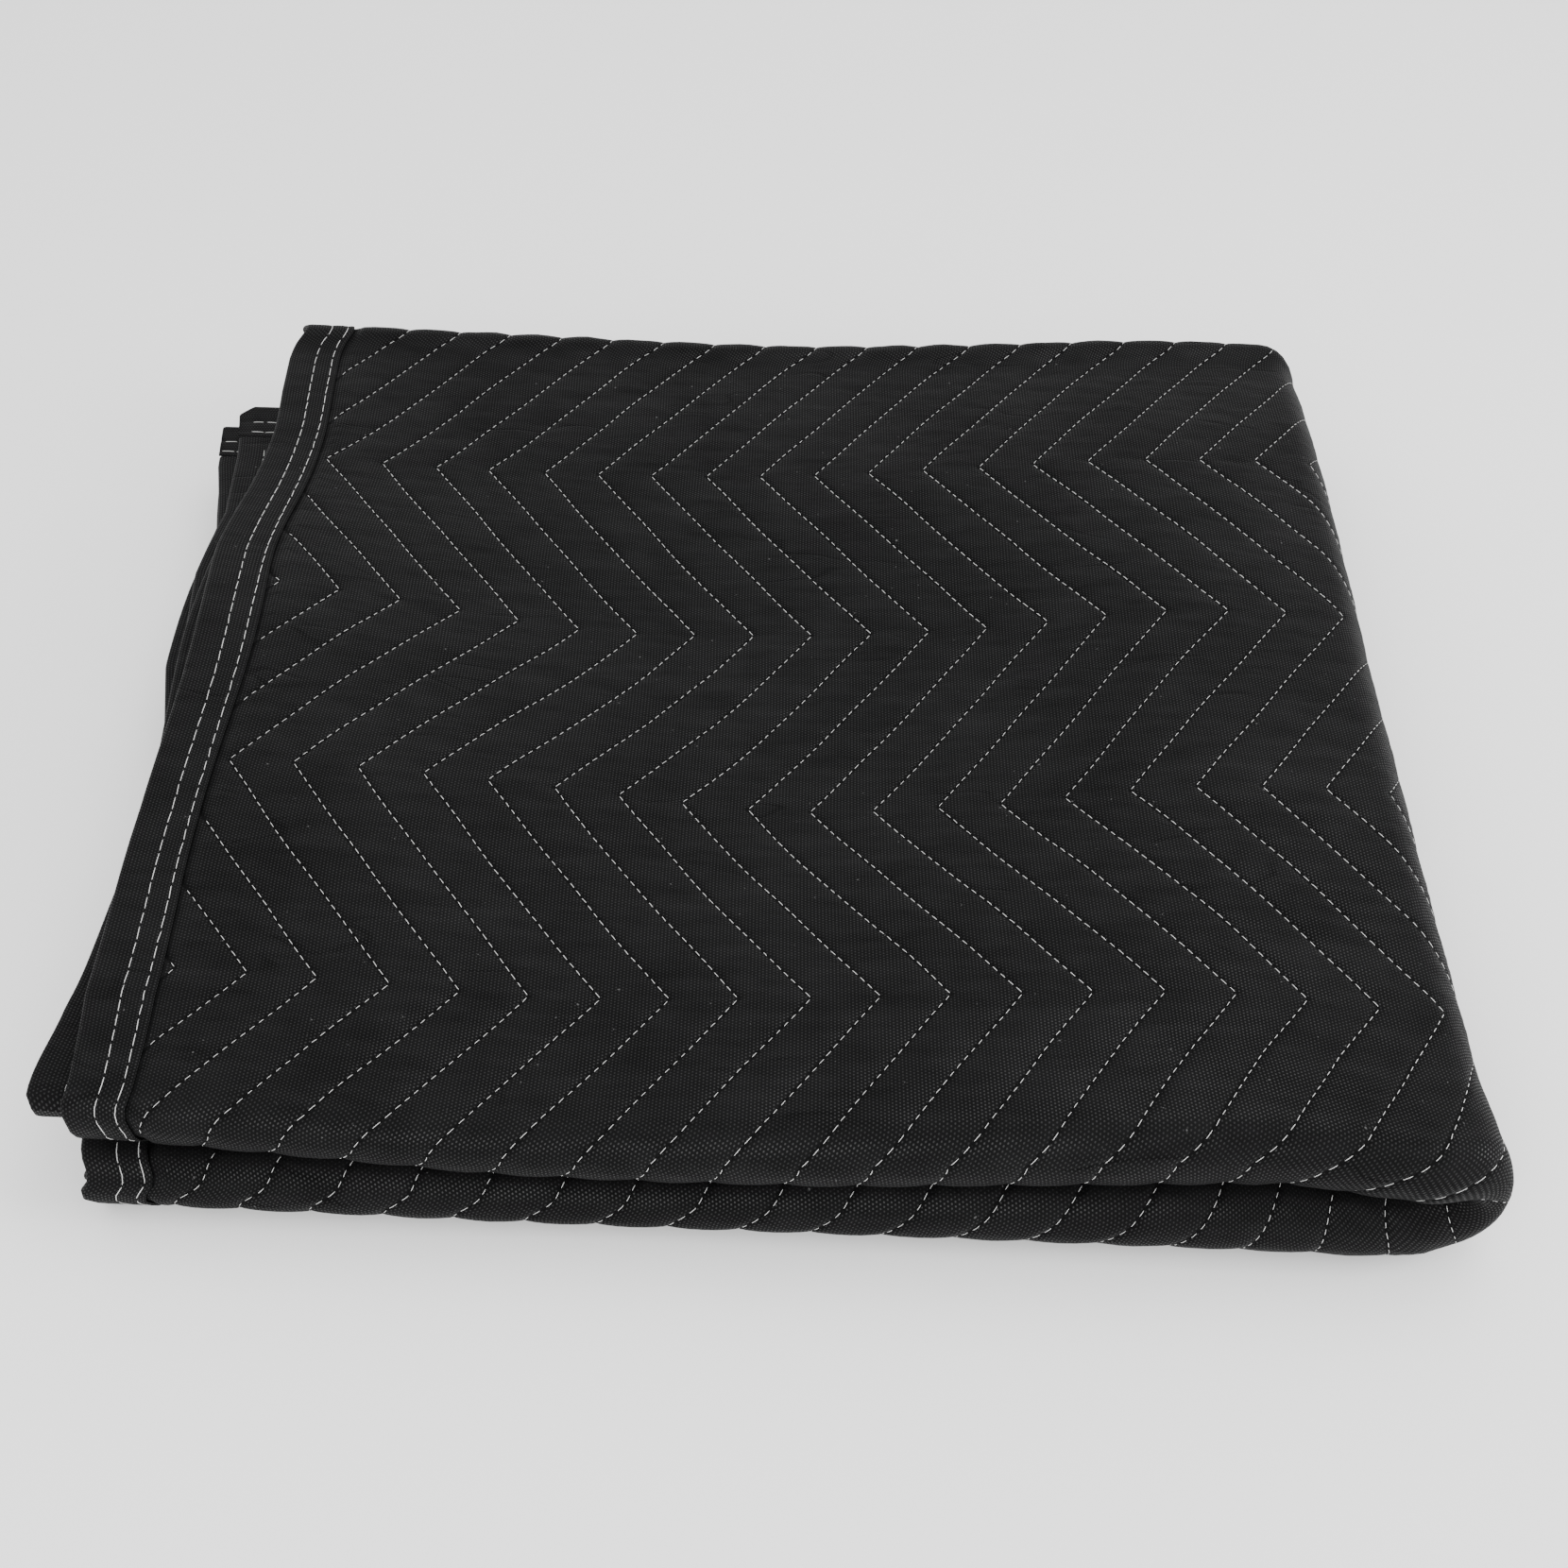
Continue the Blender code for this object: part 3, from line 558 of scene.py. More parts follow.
def half_thickness(u, v):
    """Puffed between the stitch lines, pressed in the side fold and under the bindings."""
    _, r = walk(v)
    phase = line_phase(u, v)
    puff = np.abs(np.sin(np.pi * phase)) ** PUFF_POWER
    half = STITCHED_HALF + (PUFF_HALF - STITCHED_HALF) * puff + pucker(u, v, phase)
    past_fold = np.abs(u - WIDTH / 2) - side_bend(r)[0] - FOLD_RAMP[0]
    in_fold = 1 - smoothstep(past_fold / (FOLD_RAMP[1] - FOLD_RAMP[0]))
    half = half + (FOLD_HALF + FOLD_PUFF_SHARE * (half - FOLD_HALF) - half) * in_fold
    seen = smoothstep((v - QUILTED[0]) / SEEN_RAMP + 1) * smoothstep((QUILTED[1] - v) / SEEN_RAMP + 1)
    half = HIDDEN_HALF + (half - HIDDEN_HALF) * seen
    ramp = (to_cut_edge(u, v) - BINDING_WIDTH - EDGE_RAMP[0]) / (EDGE_RAMP[1] - EDGE_RAMP[0])
    return BOUND_HALF + (half - BOUND_HALF) * smoothstep(ramp)


def pucker(u, v, phase):
    """Small wrinkles that run across each channel, stronger at the back and by the side fold."""
    channel = np.floor(phase)
    along = v * SLANT
    wave = np.zeros_like(u)
    for length, turn, share in PUCKER_WAVES:
        wave = wave + share * np.sin(2 * np.pi * (along / length + turn * channel + PUCKER_LEAN * phase))
    by_fold = smoothstep(1 - np.abs(u - WIDTH / 2) / PUCKER_REACH[0])
    at_back = smoothstep(1 - np.abs(v - QUILTED[1]) / PUCKER_REACH[1])
    size = PUCKER[0] + (PUCKER[1] - PUCKER[0]) * np.maximum(by_fold, at_back)
    return size * wave * np.sin(np.pi * phase) ** 2


def resting(u, v):
    """0 on the run that lies on the table, up to 1 where the cloth has left it."""
    y, r = walk(v)
    z = pressed_loop(y, fold_sideways(u, r)[1])
    return smoothstep((z - INNER_LAYER * LAYER_PITCH) / LIFT_OFF)


def offset_point(u, v, offset, pressed):
    """A point off the middle surface. Where pressed, the underside is all but flat on the table."""
    place = middle(u, v) + facing(u, v) * offset[..., None]
    flat = np.where(pressed & (offset > 0), resting(u, v), 1)
    groove = np.maximum(PUFF_HALF - offset, 0) * UNDER_GROOVE
    place[..., 2] = place[..., 2] * flat + groove * (1 - flat)
    return place - np.array(STACK_CENTRE)


def fold_columns(v, count):
    """Columns round the side fold, in the row at v."""
    _, r = walk(np.array([v]))
    return WIDTH / 2 + np.linspace(-1, 1, count) * (side_bend(r[0])[0] + FOLD_MARGIN)


def mesh_rows():
    """Where the mesh has rows along v: close together where the cloth shows."""
    first, last = QUILTED[0] - SEEN_MARGIN, QUILTED[1] + SEEN_MARGIN
    corners = [FIRST_CORNER + row * ZIGZAG_LEG for row in CORNER_ROWS]
    ends = [0, BINDING_WIDTH + EDGE_RAMP[0], BINDING_WIDTH + EDGE_RAMP[1]]
    marks = ends + [first] + [corner for corner in corners if first < corner < last]
    marks += [last] + [LENGTH - mark for mark in reversed(ends)]
    rows = []
    for low, high in zip(marks, marks[1:]):
        step = FINE_ROW if first - TINY < low and high < last + TINY else HIDDEN_ROW
        rows += list(np.linspace(low, high, max(round((high - low) / step), 1) + 1))[:-1]
    return rows + [LENGTH]


def columns(v, outside):
    """The columns of one row, and whether they follow the stitch lines."""
    ramp = (EDGE_RAMP[0], sum(EDGE_RAMP) / 2, EDGE_RAMP[1])
    near = [0] + [BINDING_WIDTH + step for step in ramp]
    far = [WIDTH - u for u in reversed(near)]
    fine = outside and QUILTED[0] - SEEN_MARGIN - TINY < v < QUILTED[1] + SEEN_MARGIN + TINY
    under = OUTSIDE_START + UNDER_MARGIN < v < OUTSIDE_START + RUN - UNDER_MARGIN
    fold = list(fold_columns(v, FOLD_COLUMNS[1] if fine else FOLD_COLUMNS[0]))
    us = near + fold + far
    for low, high, plain in ((near[-1], fold[0], not fine), (fold[-1], far[0], not fine or under)):
        if plain:
            us += list(np.linspace(low, high, round((high - low) / HIDDEN_ROW) + 1))[1:-1]
            continue
        phases = np.array(LINES)[:, None] + np.array(COLUMN_PHASES)
        u = FIRST_LINE + LINE_PITCH * phases.ravel() + ZIGZAG_REACH * float(zigzag(np.array(v)))
        us += list(u[(u > low + COLUMN_GAP) & (u < high - COLUMN_GAP)])
    return np.array(sorted(us)), fine


def zip_rows(first, first_keys, second, second_keys):
    """Triangles that fill the strip between two rows of points, joining points of like keys."""
    faces, i, j = [], 0, 0
    while i < len(first) - 1 or j < len(second) - 1:
        second_done = j == len(second) - 1
        if second_done or (i < len(first) - 1 and first_keys[i + 1] <= second_keys[j + 1] + KEY_TIE):
            faces.append((first[i], first[i + 1], second[j]))
            i += 1
        else:
            faces.append((first[i], second[j + 1], second[j]))
            j += 1
    return faces


def face_of_cloth(outside, start):
    """Flat points and triangles of one face of the cloth, and the points of each row."""
    uv, faces, rows = [], [], []
    for v in mesh_rows():
        us, fine = columns(v, outside)
        index = list(range(start + len(uv), start + len(uv) + len(us)))
        uv += [(u, v) for u in us]
        phase = line_phase(us, np.full_like(us, v))
        if rows:
            before, before_us, before_phase, before_fine = rows[-1]
            if fine and before_fine:
                faces += zip_rows(before, before_phase, index, phase)
            else:
                faces += zip_rows(before, before_us, index, us)
        rows.append((index, us, phase, fine))
    return np.array(uv), faces, [row[0] for row in rows]


def pad_mesh():
    """One closed sheet: the cloth's two faces, joined round its cut edge."""
    top_uv, top_faces, top_rows = face_of_cloth(True, 0)
    low_uv, low_faces, low_rows = face_of_cloth(False, len(top_uv))
    uv = np.concatenate([top_uv, low_uv])
    u, v = uv[:, 0], uv[:, 1]
    side = np.where(np.arange(len(uv)) < len(top_uv), 1, -1)
    pressed = to_cut_edge(u, v) > BINDING_WIDTH + EDGE_RAMP[0] + PRESSED_FROM
    points = offset_point(u, v, side * half_thickness(u, v), pressed)
    faces = top_faces + [face[::-1] for face in low_faces]
    for end in (0, -1):
        top = [row[end] for row in top_rows]
        low = [row[end] for row in low_rows]
        wall = zip_rows(top, range(len(top)), low, range(len(low)))
        faces += wall if end else [face[::-1] for face in wall]
    for end in (0, -1):
        keys = uv[top_rows[end]][:, 0], uv[low_rows[end]][:, 0]
        wall = zip_rows(top_rows[end], keys[0], low_rows[end], keys[1])
        faces += [face[::-1] for face in wall] if end else wall
    return points, faces, uv


def binding_section():
    """The binding's folded strip, as (distance in from the edge, offset, on the outside) rows."""
    inside = BOUND_HALF + BINDING_GAP
    outside = inside + BINDING_PLY
    edge_round, edge_drop = BINDING_EDGE
    face = [(BINDING_WIDTH, outside - edge_drop), (BINDING_WIDTH - edge_round, outside)]
    for depth in np.linspace(BINDING_WIDTH - FACE_FROM, FACE_FROM, FACE_POINTS):
        dip = sum(np.exp(-(((depth - row) / ROW_DIP_REACH) ** 2)) for row in BINDING_ROWS)
        face.append((depth, outside + FACE_SWELL - ROW_DIP * dip))
    section = [(depth, offset, True) for depth, offset in face]
    for turn in np.linspace(0, np.pi, LIP_POINTS):
        depth = LIP_FROM - (BINDING_LIP + LIP_FROM) * np.sin(turn)
        section.append((depth, outside * np.cos(turn), True))
    section += [(depth, -offset, True) for depth, offset in reversed(face)]
    inner = ((BINDING_WIDTH, -1), (-BINDING_GAP, -1), (-BINDING_GAP, 1), (BINDING_WIDTH, 1))
    return section + [(depth, side * inside, False) for depth, side in inner]


def strip_mesh(stations, place, flip):
    """A closed strip: the binding's section carried along the stations of one edge."""
    section = binding_section()
    count = len(section)
    wander = WANDER * np.sin(stations * WANDER_WAVES[0] + np.sin(stations * WANDER_WAVES[1]))
    points, flat, around = [], [], 0.0
    for k, (depth, offset, outside) in enumerate(section):
        inner_edge = smoothstep((depth - BINDING_ROWS[1]) / (BINDING_WIDTH - BINDING_ROWS[1]))
        u, v = place(depth + wander * inner_edge, stations)
        points.append(offset_point(u, v, np.full_like(u, offset), np.full(u.shape, outside)))
        around += abs(depth - section[k - 1][0]) + abs(offset - section[k - 1][1]) if k else 0
        flat.append(np.stack([np.full_like(stations, around), stations], -1))
    points = np.stack(points, 1).reshape(-1, 3)
    flat = np.stack(flat, 1).reshape(-1, 2)
    faces = []
    for row in range(len(stations) - 1):
        for k in range(count):
            a, b = row * count + k, row * count + (k + 1) % count
            faces.append((a, b, b + count, a + count))
    outer = list(range(count - len(INNER_KEYS)))
    inner = [count - 1 - k for k in range(len(INNER_KEYS))]
    cap = zip_rows(outer, np.linspace(0, 1, len(outer)), inner, INNER_KEYS)
    last = (len(stations) - 1) * count
    faces += cap
    faces += [tuple(k + last for k in face[::-1]) for face in cap]
    if flip:
        faces = [face[::-1] for face in faces]
    return points, faces, flat


def stations_between(low, high):
    """Places along an edge, evenly spaced."""
    return np.linspace(low, high, round((high - low) / BINDING_ROW) + 1)


def thread_mesh(u, v, du, dv, length, radius, face, side, rng):
    """Stitches: short capsules, proud of the cloth in the middle, their ends sunk into it."""
    count = len(u)
    length = length * (1 + STITCH_UNEVEN[0] * rng.standard_normal(count))
    turn = STITCH_UNEVEN[1] * rng.standard_normal(count)
    du, dv = du * np.cos(turn) - dv * np.sin(turn), du * np.sin(turn) + dv * np.cos(turn)
    along, proud, thick = np.array(STITCH_SHAPE).T
    at_u = u[:, None] + (du * length)[:, None] * along
    at_v = v[:, None] + (dv * length)[:, None] * along
    offset = side * (face(at_u, at_v) + proud * radius)
    spine = offset_point(at_u, at_v, offset, np.ones(at_u.shape, bool))
    normal = facing(at_u, at_v) * side
    forward = spine[:, -1] - spine[:, 0]
    forward = forward / np.linalg.norm(forward, axis=-1, keepdims=True)
    across = np.cross(normal, forward[:, None])
    across = across / np.linalg.norm(across, axis=-1, keepdims=True)
    rings = []
    for k in range(STITCH_SIDES):
        angle = 2 * np.pi * k / STITCH_SIDES
        outwards = np.cos(angle) * across + STITCH_FLATNESS * np.sin(angle) * normal
        rings.append(spine + (thick * radius)[:, None] * outwards)
    points = np.stack(rings, 2).reshape(-1, 3)
    points[:, 2] = np.maximum(points[:, 2], OVER_TABLE)
    first = np.arange(count)[:, None] * (len(along) * STITCH_SIDES)
    faces = []
    for corners in capsule_faces(len(along)):
        faces += (np.array(corners) + first).tolist()
    around = np.tile(np.arange(STITCH_SIDES) / STITCH_SIDES, count * len(along))
    run = np.repeat(np.tile(along, count), STITCH_SIDES) * length.mean()
    run = run + np.repeat(np.arange(count), STITCH_SIDES * len(along)) * THREAD_STAGGER
    return points, faces, np.stack([around * THREAD_ROUND, run], -1)


def capsule_faces(rings):
    """One stitch's faces, as corners counted from its first point: the walls, then both ends."""
    faces = []
    for row in range(rings - 1):
        for k in range(STITCH_SIDES):
            a, b = row * STITCH_SIDES + k, row * STITCH_SIDES + (k + 1) % STITCH_SIDES
            faces.append((a, b, b + STITCH_SIDES, a + STITCH_SIDES))
    faces.append(tuple(reversed(range(STITCH_SIDES))))
    faces.append(tuple((rings - 1) * STITCH_SIDES + k for k in range(STITCH_SIDES)))
    return faces


def quilting_stitches(rng, under):
    """Stitches of the zigzag lines, on the table side of the stack or on the rest of it."""
    per_leg = round(LEG_LENGTH / STITCH_PITCH)
    share = (np.arange(per_leg) + 0.5) / per_leg
    found = []
    for row in CORNER_ROWS:
        rising = row % 2 == 0
        v = FIRST_CORNER + (row + share) * ZIGZAG_LEG
        for line in LINES:
            u = FIRST_LINE + line * LINE_PITCH + ZIGZAG_REACH * (share if rising else 1 - share)
            for size, length, turn in LINE_WOBBLE:
                u = u + size * np.sin(2 * np.pi * (v / length + turn * line))
            found.append(np.stack([u, v, np.full_like(u, 1 if rising else -1)], -1))
    u, v, slope = np.concatenate(found).T
    seen = (v > QUILTED[0] - SEWN_PAST[0]) & (v < QUILTED[1] + SEWN_PAST[1])
    seen &= (u > BINDING_WIDTH + LINE_END) & (u < WIDTH - BINDING_WIDTH - LINE_END)
    on_table = (u > WIDTH / 2 + TABLE_FROM) & (v > OUTSIDE_START) & (v < OUTSIDE_START + RUN)
    seen &= on_table == under
    u, v, slope = u[seen], v[seen], slope[seen]
    du, dv = slope * ZIGZAG_REACH / LEG_LENGTH, np.full_like(u, ZIGZAG_LEG / LEG_LENGTH)
    length = LEG_LENGTH / per_leg * np.where(slope > 0, STITCH_SHARES[0], STITCH_SHARES[1])
    return thread_mesh(u, v, du, dv, length, THREAD_RADIUS, half_thickness, 1, rng)


def binding_stitches(rng, place, low, high):
    """The two rows of stitches along a binding, on both its faces."""
    count = round((high - low) / BINDING_STITCH_PITCH)
    length = BINDING_STITCH_PITCH * BINDING_STITCH_SHARE
    meshes = []
    for depth in BINDING_ROWS:
        s = low + (np.arange(count) + rng.random()) * BINDING_STITCH_PITCH
        s = s[s < high - BINDING_ROW_END]
        u, v = place(np.full_like(s, depth), s)
        ahead_u, ahead_v = place(np.full_like(s, depth), s + AHEAD)
        du, dv = (ahead_u - u) / AHEAD, (ahead_v - v) / AHEAD
        for side in (1, -1):
            meshes.append(thread_mesh(u, v, du, dv, length, BINDING_THREAD_RADIUS, bound_face, side, rng))
    return joined(meshes)


def bound_face(u, v):
    """Half the thickness of the bound edge, at the bottom of the stitch rows."""
    return np.full_like(u, BOUND_HALF + BINDING_GAP + BINDING_PLY - BINDING_THREAD_SUNK)


def joined(meshes):
    """Several meshes as one."""
    points, faces, flat, start = [], [], [], 0
    for more_points, more_faces, more_flat in meshes:
        points.append(more_points)
        flat.append(more_flat)
        faces += [tuple(k + start for k in face) for face in more_faces]
        start += len(more_points)
    return np.concatenate(points), faces, np.concatenate(flat)


class Wire:
    """A shader socket that sums can be written with."""

    tree = None

    def __init__(self, socket):
        self.socket = socket

    @classmethod
    def node(cls, kind, inputs, **settings):
        node = cls.tree.nodes.new(kind)
        for name, value in settings.items():
            setattr(node, name, value)
        for name, value in inputs.items():
            cls.attach(node, name, value)
        return node

    @classmethod
    def attach(cls, node, name, value):
        if isinstance(value, Wire):
            cls.tree.links.new(value.socket, node.inputs[name])
        else:
            node.inputs[name].default_value = value

    @classmethod
    def maths(cls, operation, *values):
        return cls(cls.node("ShaderNodeMath", dict(enumerate(values)), operation=operation).outputs[0])

    def __add__(self, other):
        return self.maths("ADD", self, other)

    def __radd__(self, other):
        return self.maths("ADD", other, self)

    def __sub__(self, other):
        return self.maths("SUBTRACT", self, other)

    def __rsub__(self, other):
        return self.maths("SUBTRACT", other, self)

    def __mul__(self, other):
        return self.maths("MULTIPLY", self, other)

    def __rmul__(self, other):
        return self.maths("MULTIPLY", other, self)

    def __truediv__(self, other):
        return self.maths("DIVIDE", self, other)

    def floor(self):
        return self.maths("FLOOR", self)

    def fraction(self):
        return self.maths("FRACT", self)

    def absolute(self):
        return self.maths("ABSOLUTE", self)

    def bounded(self):
        return self.maths("MAXIMUM", self.maths("MINIMUM", self, 1), 0)

    def eased(self, low, high):
        """0 below low, 1 over high, smooth between."""
        inputs = {"Value": self, "From Min": low, "From Max": high}
        node = self.node("ShaderNodeMapRange", inputs, interpolation_type="SMOOTHSTEP")
        return Wire(node.outputs[0])


def flat_place():
    """The flat cloth's u and v in metres."""
    flat = Wire(Wire.node("ShaderNodeUVMap", {}, uv_map="flat").outputs[0])
    parts = Wire.node("ShaderNodeSeparateXYZ", {"Vector": flat})
    return Wire(parts.outputs[0]), Wire(parts.outputs[1])


def noise(u, v, pattern):
    """Noise from 0 to 1, in one of the patterns that are named with the cloth's values."""
    level, scale, detail, roughness = pattern
    at = Wire(Wire.node("ShaderNodeCombineXYZ", {"X": u, "Y": v, "Z": level}).outputs[0])
    inputs = {"Vector": at, "Scale": scale, "Detail": detail, "Roughness": roughness}
    return Wire(Wire.node("ShaderNodeTexNoise", inputs).outputs[0])


def blended(factor, first, second):
    """The first colour at factor 0, the second at 1."""
    node = Wire.node("ShaderNodeMix", {"Factor": factor}, data_type="RGBA")
    colours = [socket for socket in node.inputs if socket.type == "RGBA"]
    for socket, value in zip(colours, (first, second)):
        if isinstance(value, Wire):
            Wire.tree.links.new(value.socket, socket)
        else:
            socket.default_value = (*value, 1)
    return Wire([socket for socket in node.outputs if socket.type == "RGBA"][0])


def bumped(height, strength, distance, under=None):
    """A normal from a height, over another normal where one is given."""
    inputs = {"Height": height, "Strength": strength, "Distance": distance}
    if under is not None:
        inputs["Normal"] = under
    return Wire(Wire.node("ShaderNodeBump", inputs).outputs[0])


def new_material(name):
    material = bpy.data.materials.new(name)
    material.use_nodes = True
    Wire.tree = material.node_tree
    return material, material.node_tree.nodes["Principled BSDF"]


def embossed_dots(u, v):
    """1 on the dots pressed into the cloth, in staggered rows."""
    row = v / DOT_ROW_PITCH
    stagger = (row.floor() * 0.5).fraction()
    across = ((u / DOT_PITCH + stagger).fraction() - 0.5) * DOT_PITCH
    down = (row.fraction() - 0.5) * DOT_ROW_PITCH
    from_dot = Wire.maths("SQRT", across * across + down * down)
    return 1 - from_dot.eased(*DOT_EDGE)


def pressed_lines(u, v):
    """1 along the few sharp lines that folding has left in the cloth."""
    line = 1 - (noise(u * LINE_STRETCH, v, PRESSED_LINE) - 0.5).absolute().eased(*PRESSED_LINE_EDGE)
    return line * noise(u, v, PRESSED_WHERE).eased(*PRESSED_WHERE_EDGE)


def embossed_cloth(shader, u, v, form, line_depth, form_bump, seam_shade):
    """Thin non-woven cloth: dots, creases, blotchy and streaky tone, a little lint. The blotchy and
    streaky tone is painted light and shade of the larger creases
    """
    dot = embossed_dots(u, v)
    line = pressed_lines(u, v)
    fibre = noise(u, v, FIBRE)
    blotches = noise(u, v, BLOTCHES)
    streaks = noise(u * STREAK_STRETCH, v, STREAKS)
    creases = noise(u * CREASE_STRETCH, v, CREASES)
    normal = bumped(form + creases - line * line_depth, *form_bump)
    normal = bumped(dot * DOT_HEIGHT + fibre * FIBRE_HEIGHT, *DOT_BUMP, normal)
    # Painted light and shade in the tone: the dots are painted paler as a sheen, and the stitch lines and
    # the pressed lines are painted darker as shade
    tone = dot * DOT_PAINTED_SHEEN + TONE_LEVEL - seam_shade * SEAM_PAINTED_SHADE - line * CREASE_LINE_SHADE
    # Painted light and shade of the larger creases, as clouds, blotches and streaks
    tone = tone + (noise(u, v, CLOUDS) - 0.5) * CLOUD_CREASE_SHADE + (blotches - 0.5) * BLOTCH_CREASE_SHADE
    tone = tone + (streaks - 0.5) * STREAK_CREASE_SHADE + (fibre - 0.5) * FIBRE_TONE
    cloth = blended(tone.bounded(), CLOTH_DARK, CLOTH_PALE)
    lint = noise(u, v, LINT).eased(*LINT_EDGE)
    gloss = dot * (DOT_GLOSS + (streaks - 0.5) * STREAK_GLOSS) * (1 - seam_shade)
    Wire.attach(shader, "Base Color", blended(lint * LINT_SHARE, cloth, LINT_COLOUR))
    Wire.attach(shader, "Roughness", CLOTH_ROUGHNESS - dot * DOT_SMOOTHER + (blotches - 0.5) * BLOTCH_ROUGHER)
    Wire.attach(shader, "Normal", normal)
    Wire.attach(shader, "Specular IOR Level", CLOTH_SPECULAR)
    Wire.attach(shader, "Coat Weight", gloss)
    Wire.attach(shader, "Coat Roughness", GLOSS_ROUGHNESS)
    Wire.attach(shader, "Sheen Weight", CLOTH_SHEEN)
    Wire.attach(shader, "Sheen Roughness", CLOTH_SHEEN_ROUGHNESS)
    Wire.attach(shader, "Sheen Tint", CLOTH_SHEEN_TINT)


def quilted_material():
    """The pad's cloth, drawn into grooves and small gathers along the stitch lines."""
    material, shader = new_material("embossed_quilted_cloth")
    u, v = flat_place()
    shift = Wire.maths("PINGPONG", (v - FIRST_CORNER) / ZIGZAG_LEG, 1.0)
    phase = (u - FIRST_LINE) / LINE_PITCH - shift * (ZIGZAG_REACH / LINE_PITCH)
    to_line = ((phase + 0.5).fraction() - 0.5).absolute() * (LINE_PITCH / SLANT)
    gathers = noise(v * SLANT + phase.floor() * CHANNEL_SHIFT, phase * GATHER_STRETCH, GATHERS)
    gathers = gathers * (1 - to_line.eased(*GATHER_EDGE)) * GATHER_HEIGHT
    groove = 1 - to_line.eased(*GROOVE_EDGE)
    # Painted shade along the stitch lines: this mask darkens the cloth there and takes the dots' gloss
    # away
    seam_shade = 1 - to_line.eased(*SEAM_SHADE_EDGE)
    form = gathers - groove * GROOVE_DEPTH
    embossed_cloth(shader, u, v, form, QUILTED_LINE_DEPTH, QUILTED_BUMP, seam_shade)
    return material


def binding_material():
    """The binding's cloth, with no stitch lines of its own in the bump."""
    material, shader = new_material("embossed_binding_cloth")
    u, v = flat_place()
    embossed_cloth(shader, u, v, 0, BINDING_LINE_DEPTH, BINDING_BUMP, 0)
    return material


def thread_material():
    """Spun off-white thread of twisted plies."""
    material, shader = new_material("spun_white_thread")
    around, along = flat_place()
    ply = Wire.maths("SINE", (along / PLY_PITCH + around / THREAD_ROUND) * FULL_TURN)
    fuzz = noise(around, along, FUZZ)
    tone = (ply * PLY_TONE + (fuzz - 0.5) * FUZZ_TONE + THREAD_TONE).bounded()
    Wire.attach(shader, "Base Color", blended(tone, THREAD_DARK, THREAD_PALE))
    Wire.attach(shader, "Roughness", THREAD_ROUGHNESS + (fuzz - 0.5) * FUZZ_ROUGHER)
    Wire.attach(shader, "Normal", bumped(ply + fuzz, *THREAD_BUMP))
    Wire.attach(shader, "Sheen Weight", THREAD_SHEEN)
    return material


def add_piece(name, mesh_parts, material, smooth_angle):
    """An object of the mesh, with its flat places as its UV map."""
    points, faces, flat = mesh_parts
    mesh = bpy.data.meshes.new(name)
    mesh.from_pydata(np.asarray(points).tolist(), [], faces)
    layer = mesh.uv_layers.new(name="flat")
    corners = np.zeros(len(mesh.loops), np.int32)
    mesh.loops.foreach_get("vertex_index", corners)
    layer.data.foreach_set("uv", np.asarray(flat, np.float32)[corners].ravel())
    mesh.shade_smooth()
    mesh.set_sharp_from_angle(angle=np.radians(smooth_angle))
    mesh.materials.append(material)
    piece = bpy.data.objects.new(name, mesh)
    bpy.context.collection.objects.link(piece)
    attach(piece, "root")
    return piece


def along_side(table):
    """Flat places along a side edge, the one by the table or the outer one."""
    def place(depth, s):
        return (WIDTH - depth if table else depth) + 0 * s, s + 0 * depth
    return place


def along_end(third):
    """Flat places along an end, the one in the third layer or the lower one."""
    def place(depth, s):
        return s + 0 * depth, (LENGTH - depth if third else depth) + 0 * s
    return place


def add_binding(node, place, low, high, flip, tape, thread, rng):
    """A bound edge: its tape in place of the solid, and its rows of stitches."""
    strip = strip_mesh(stations_between(low, high), place, flip)
    tape_piece = add_piece(node + "_tape", strip, tape, TAPE_SMOOTH)
    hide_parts(node)
    sewn = binding_stitches(rng, place, low + BINDING_ROW_END, high - BINDING_ROW_END)
    return [tape_piece, add_piece(node + "_stitches", sewn, thread, THREAD_SMOOTH)]


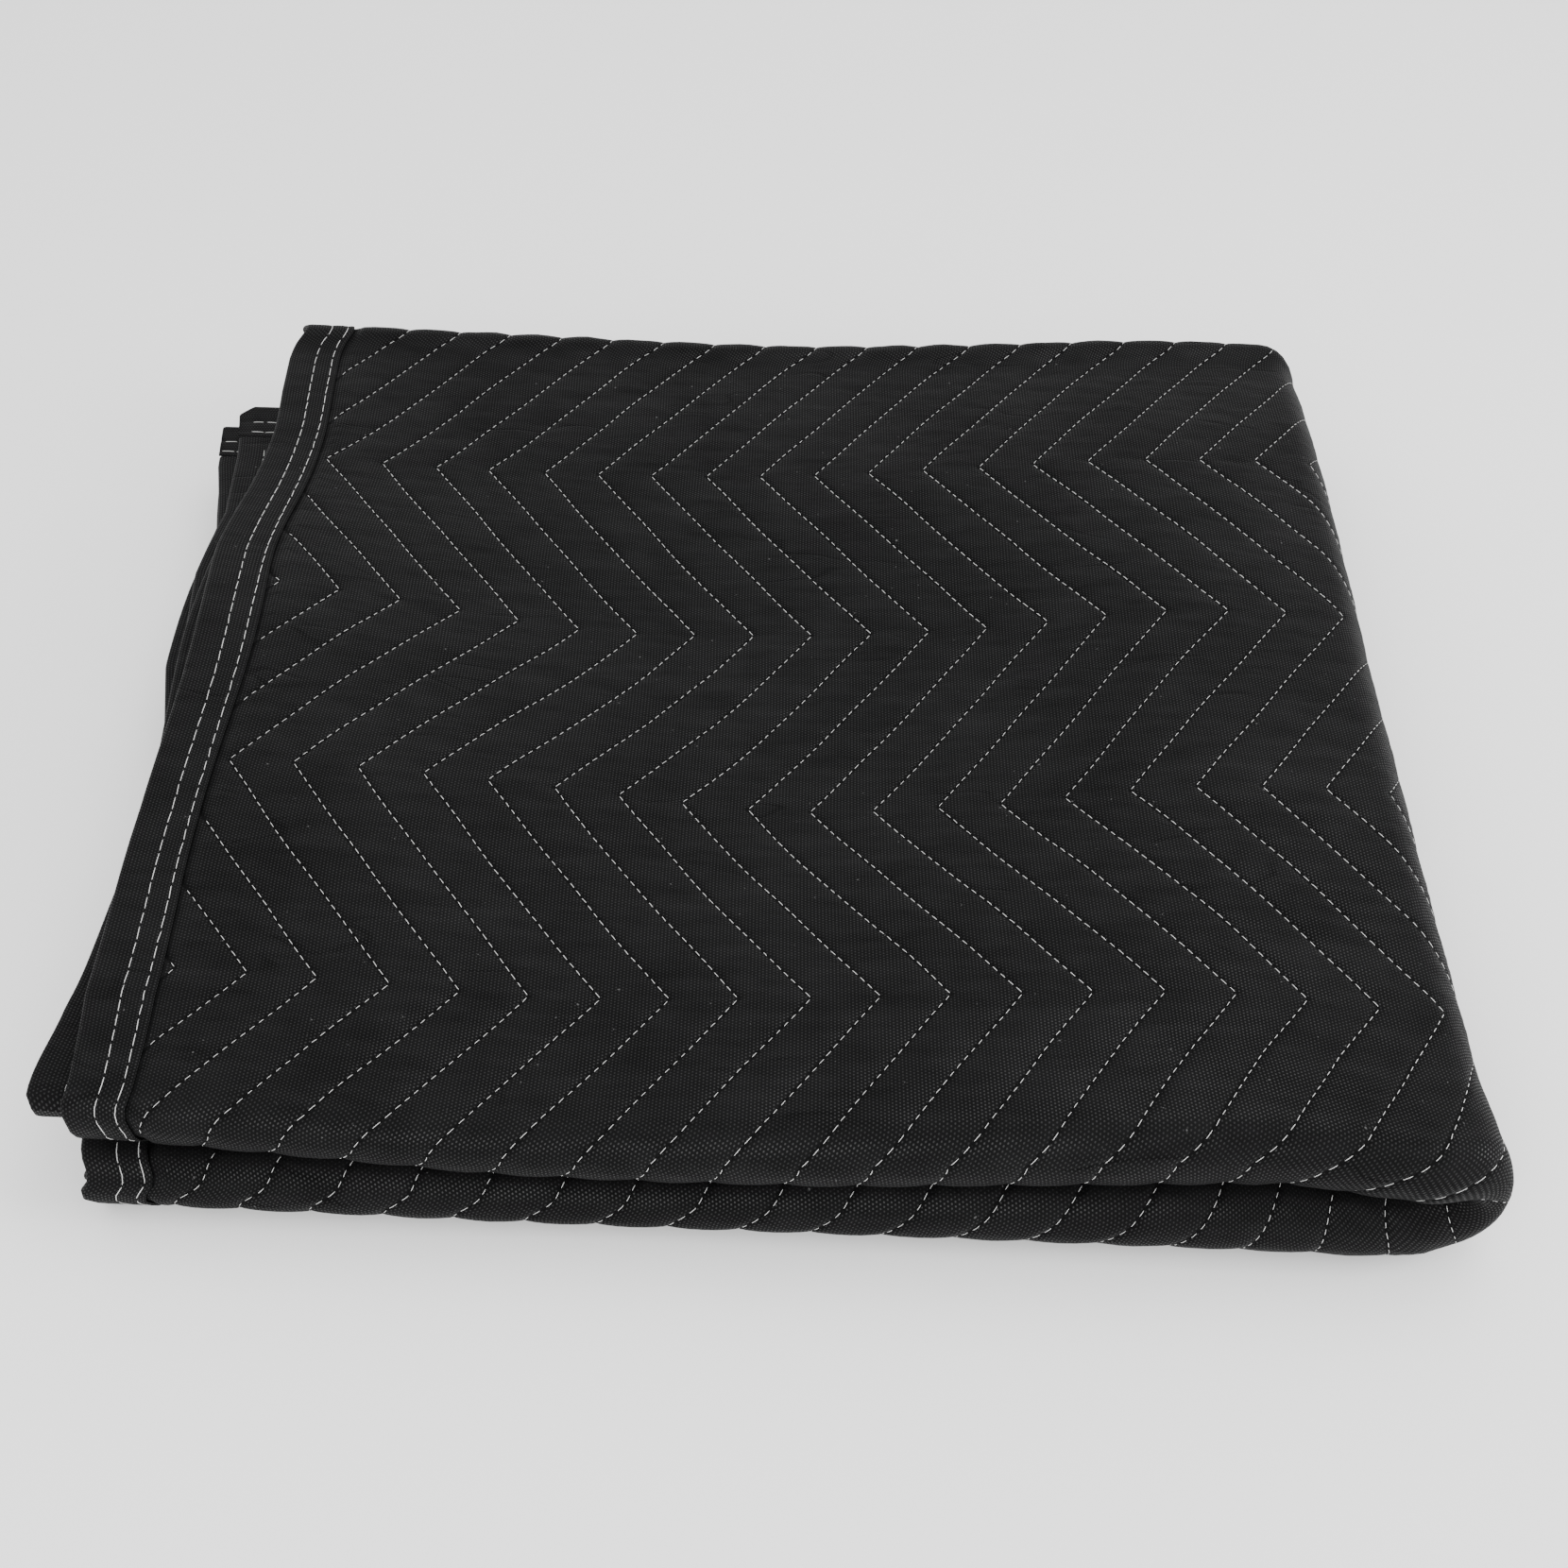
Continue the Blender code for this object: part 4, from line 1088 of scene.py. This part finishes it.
def dress():
    """The quilted cloth, the four bindings and all the stitches."""
    rng = np.random.default_rng(SEED)
    quilted = quilted_material()
    tape = binding_material()
    thread = thread_material()
    pad = add_piece("quilted_cloth", pad_mesh(), quilted, CLOTH_SMOOTH)
    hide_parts("quilted_pad")
    first = BINDING_WIDTH + EDGE_RAMP[0]
    edges = (
        ("side_binding_outer", along_side(False), first, LENGTH - first, True),
        ("side_binding_table", along_side(True), first, LENGTH - first, False),
        ("end_binding_lower", along_end(False), -BINDING_LIP, WIDTH + BINDING_LIP, False),
        ("end_binding_third", along_end(True), -BINDING_LIP, WIDTH + BINDING_LIP, True),
    )
    with_pieces = []
    for node, place, low, high, flip in edges:
        with_pieces += add_binding(node, place, low, high, flip, tape, thread, rng)
    for name, under in (("quilting_stitches", False), ("quilting_stitches_table", True)):
        sewn = quilting_stitches(rng, under)
        with_pieces.append(add_piece(name, sewn, thread, THREAD_SMOOTH))


def stage():
    """A pale floor, an even bright sky and three soft lights."""
    bpy.ops.mesh.primitive_plane_add(size=FLOOR_SIZE, location=(0, 0, 0))
    floor = bpy.context.object
    floor.name = "floor"
    material, shader = new_material("pale_floor")
    Wire.attach(shader, "Base Color", FLOOR_COLOUR)
    Wire.attach(shader, "Roughness", FLOOR_ROUGHNESS)
    Wire.attach(shader, "Specular IOR Level", FLOOR_SPECULAR)
    floor.data.materials.append(material)
    world = bpy.data.worlds.new("studio")
    world.use_nodes = True
    background = world.node_tree.nodes["Background"]
    background.inputs["Color"].default_value = (1, 1, 1, 1)
    background.inputs["Strength"].default_value = SKY_STRENGTH
    bpy.context.scene.world = world
    for name, place, turn, size, power in LIGHTS:
        light = bpy.data.lights.new(name, "AREA")
        light.shape, light.size, light.energy = "DISK", size, power
        holder = bpy.data.objects.new(name, light)
        holder.location = place
        holder.rotation_euler = np.radians(turn)
        bpy.context.collection.objects.link(holder)


def photo_camera():
    """The camera that took the photo, as worked out from the corners of the zigzags."""
    camera = bpy.data.cameras.new("camera")
    camera.sensor_width, camera.lens = CAMERA_SENSOR, CAMERA_LENS
    camera.clip_start = CAMERA_CLIP
    holder = bpy.data.objects.new("camera", camera)
    place = np.array(CAMERA_PLACE) - np.array(STACK_CENTRE)
    turn = Euler(np.radians(CAMERA_TURN)).to_matrix().to_4x4()
    holder.matrix_world = Matrix.Translation(place) @ turn
    bpy.context.collection.objects.link(holder)
    bpy.context.scene.camera = holder


photo_camera()
dress()
stage()
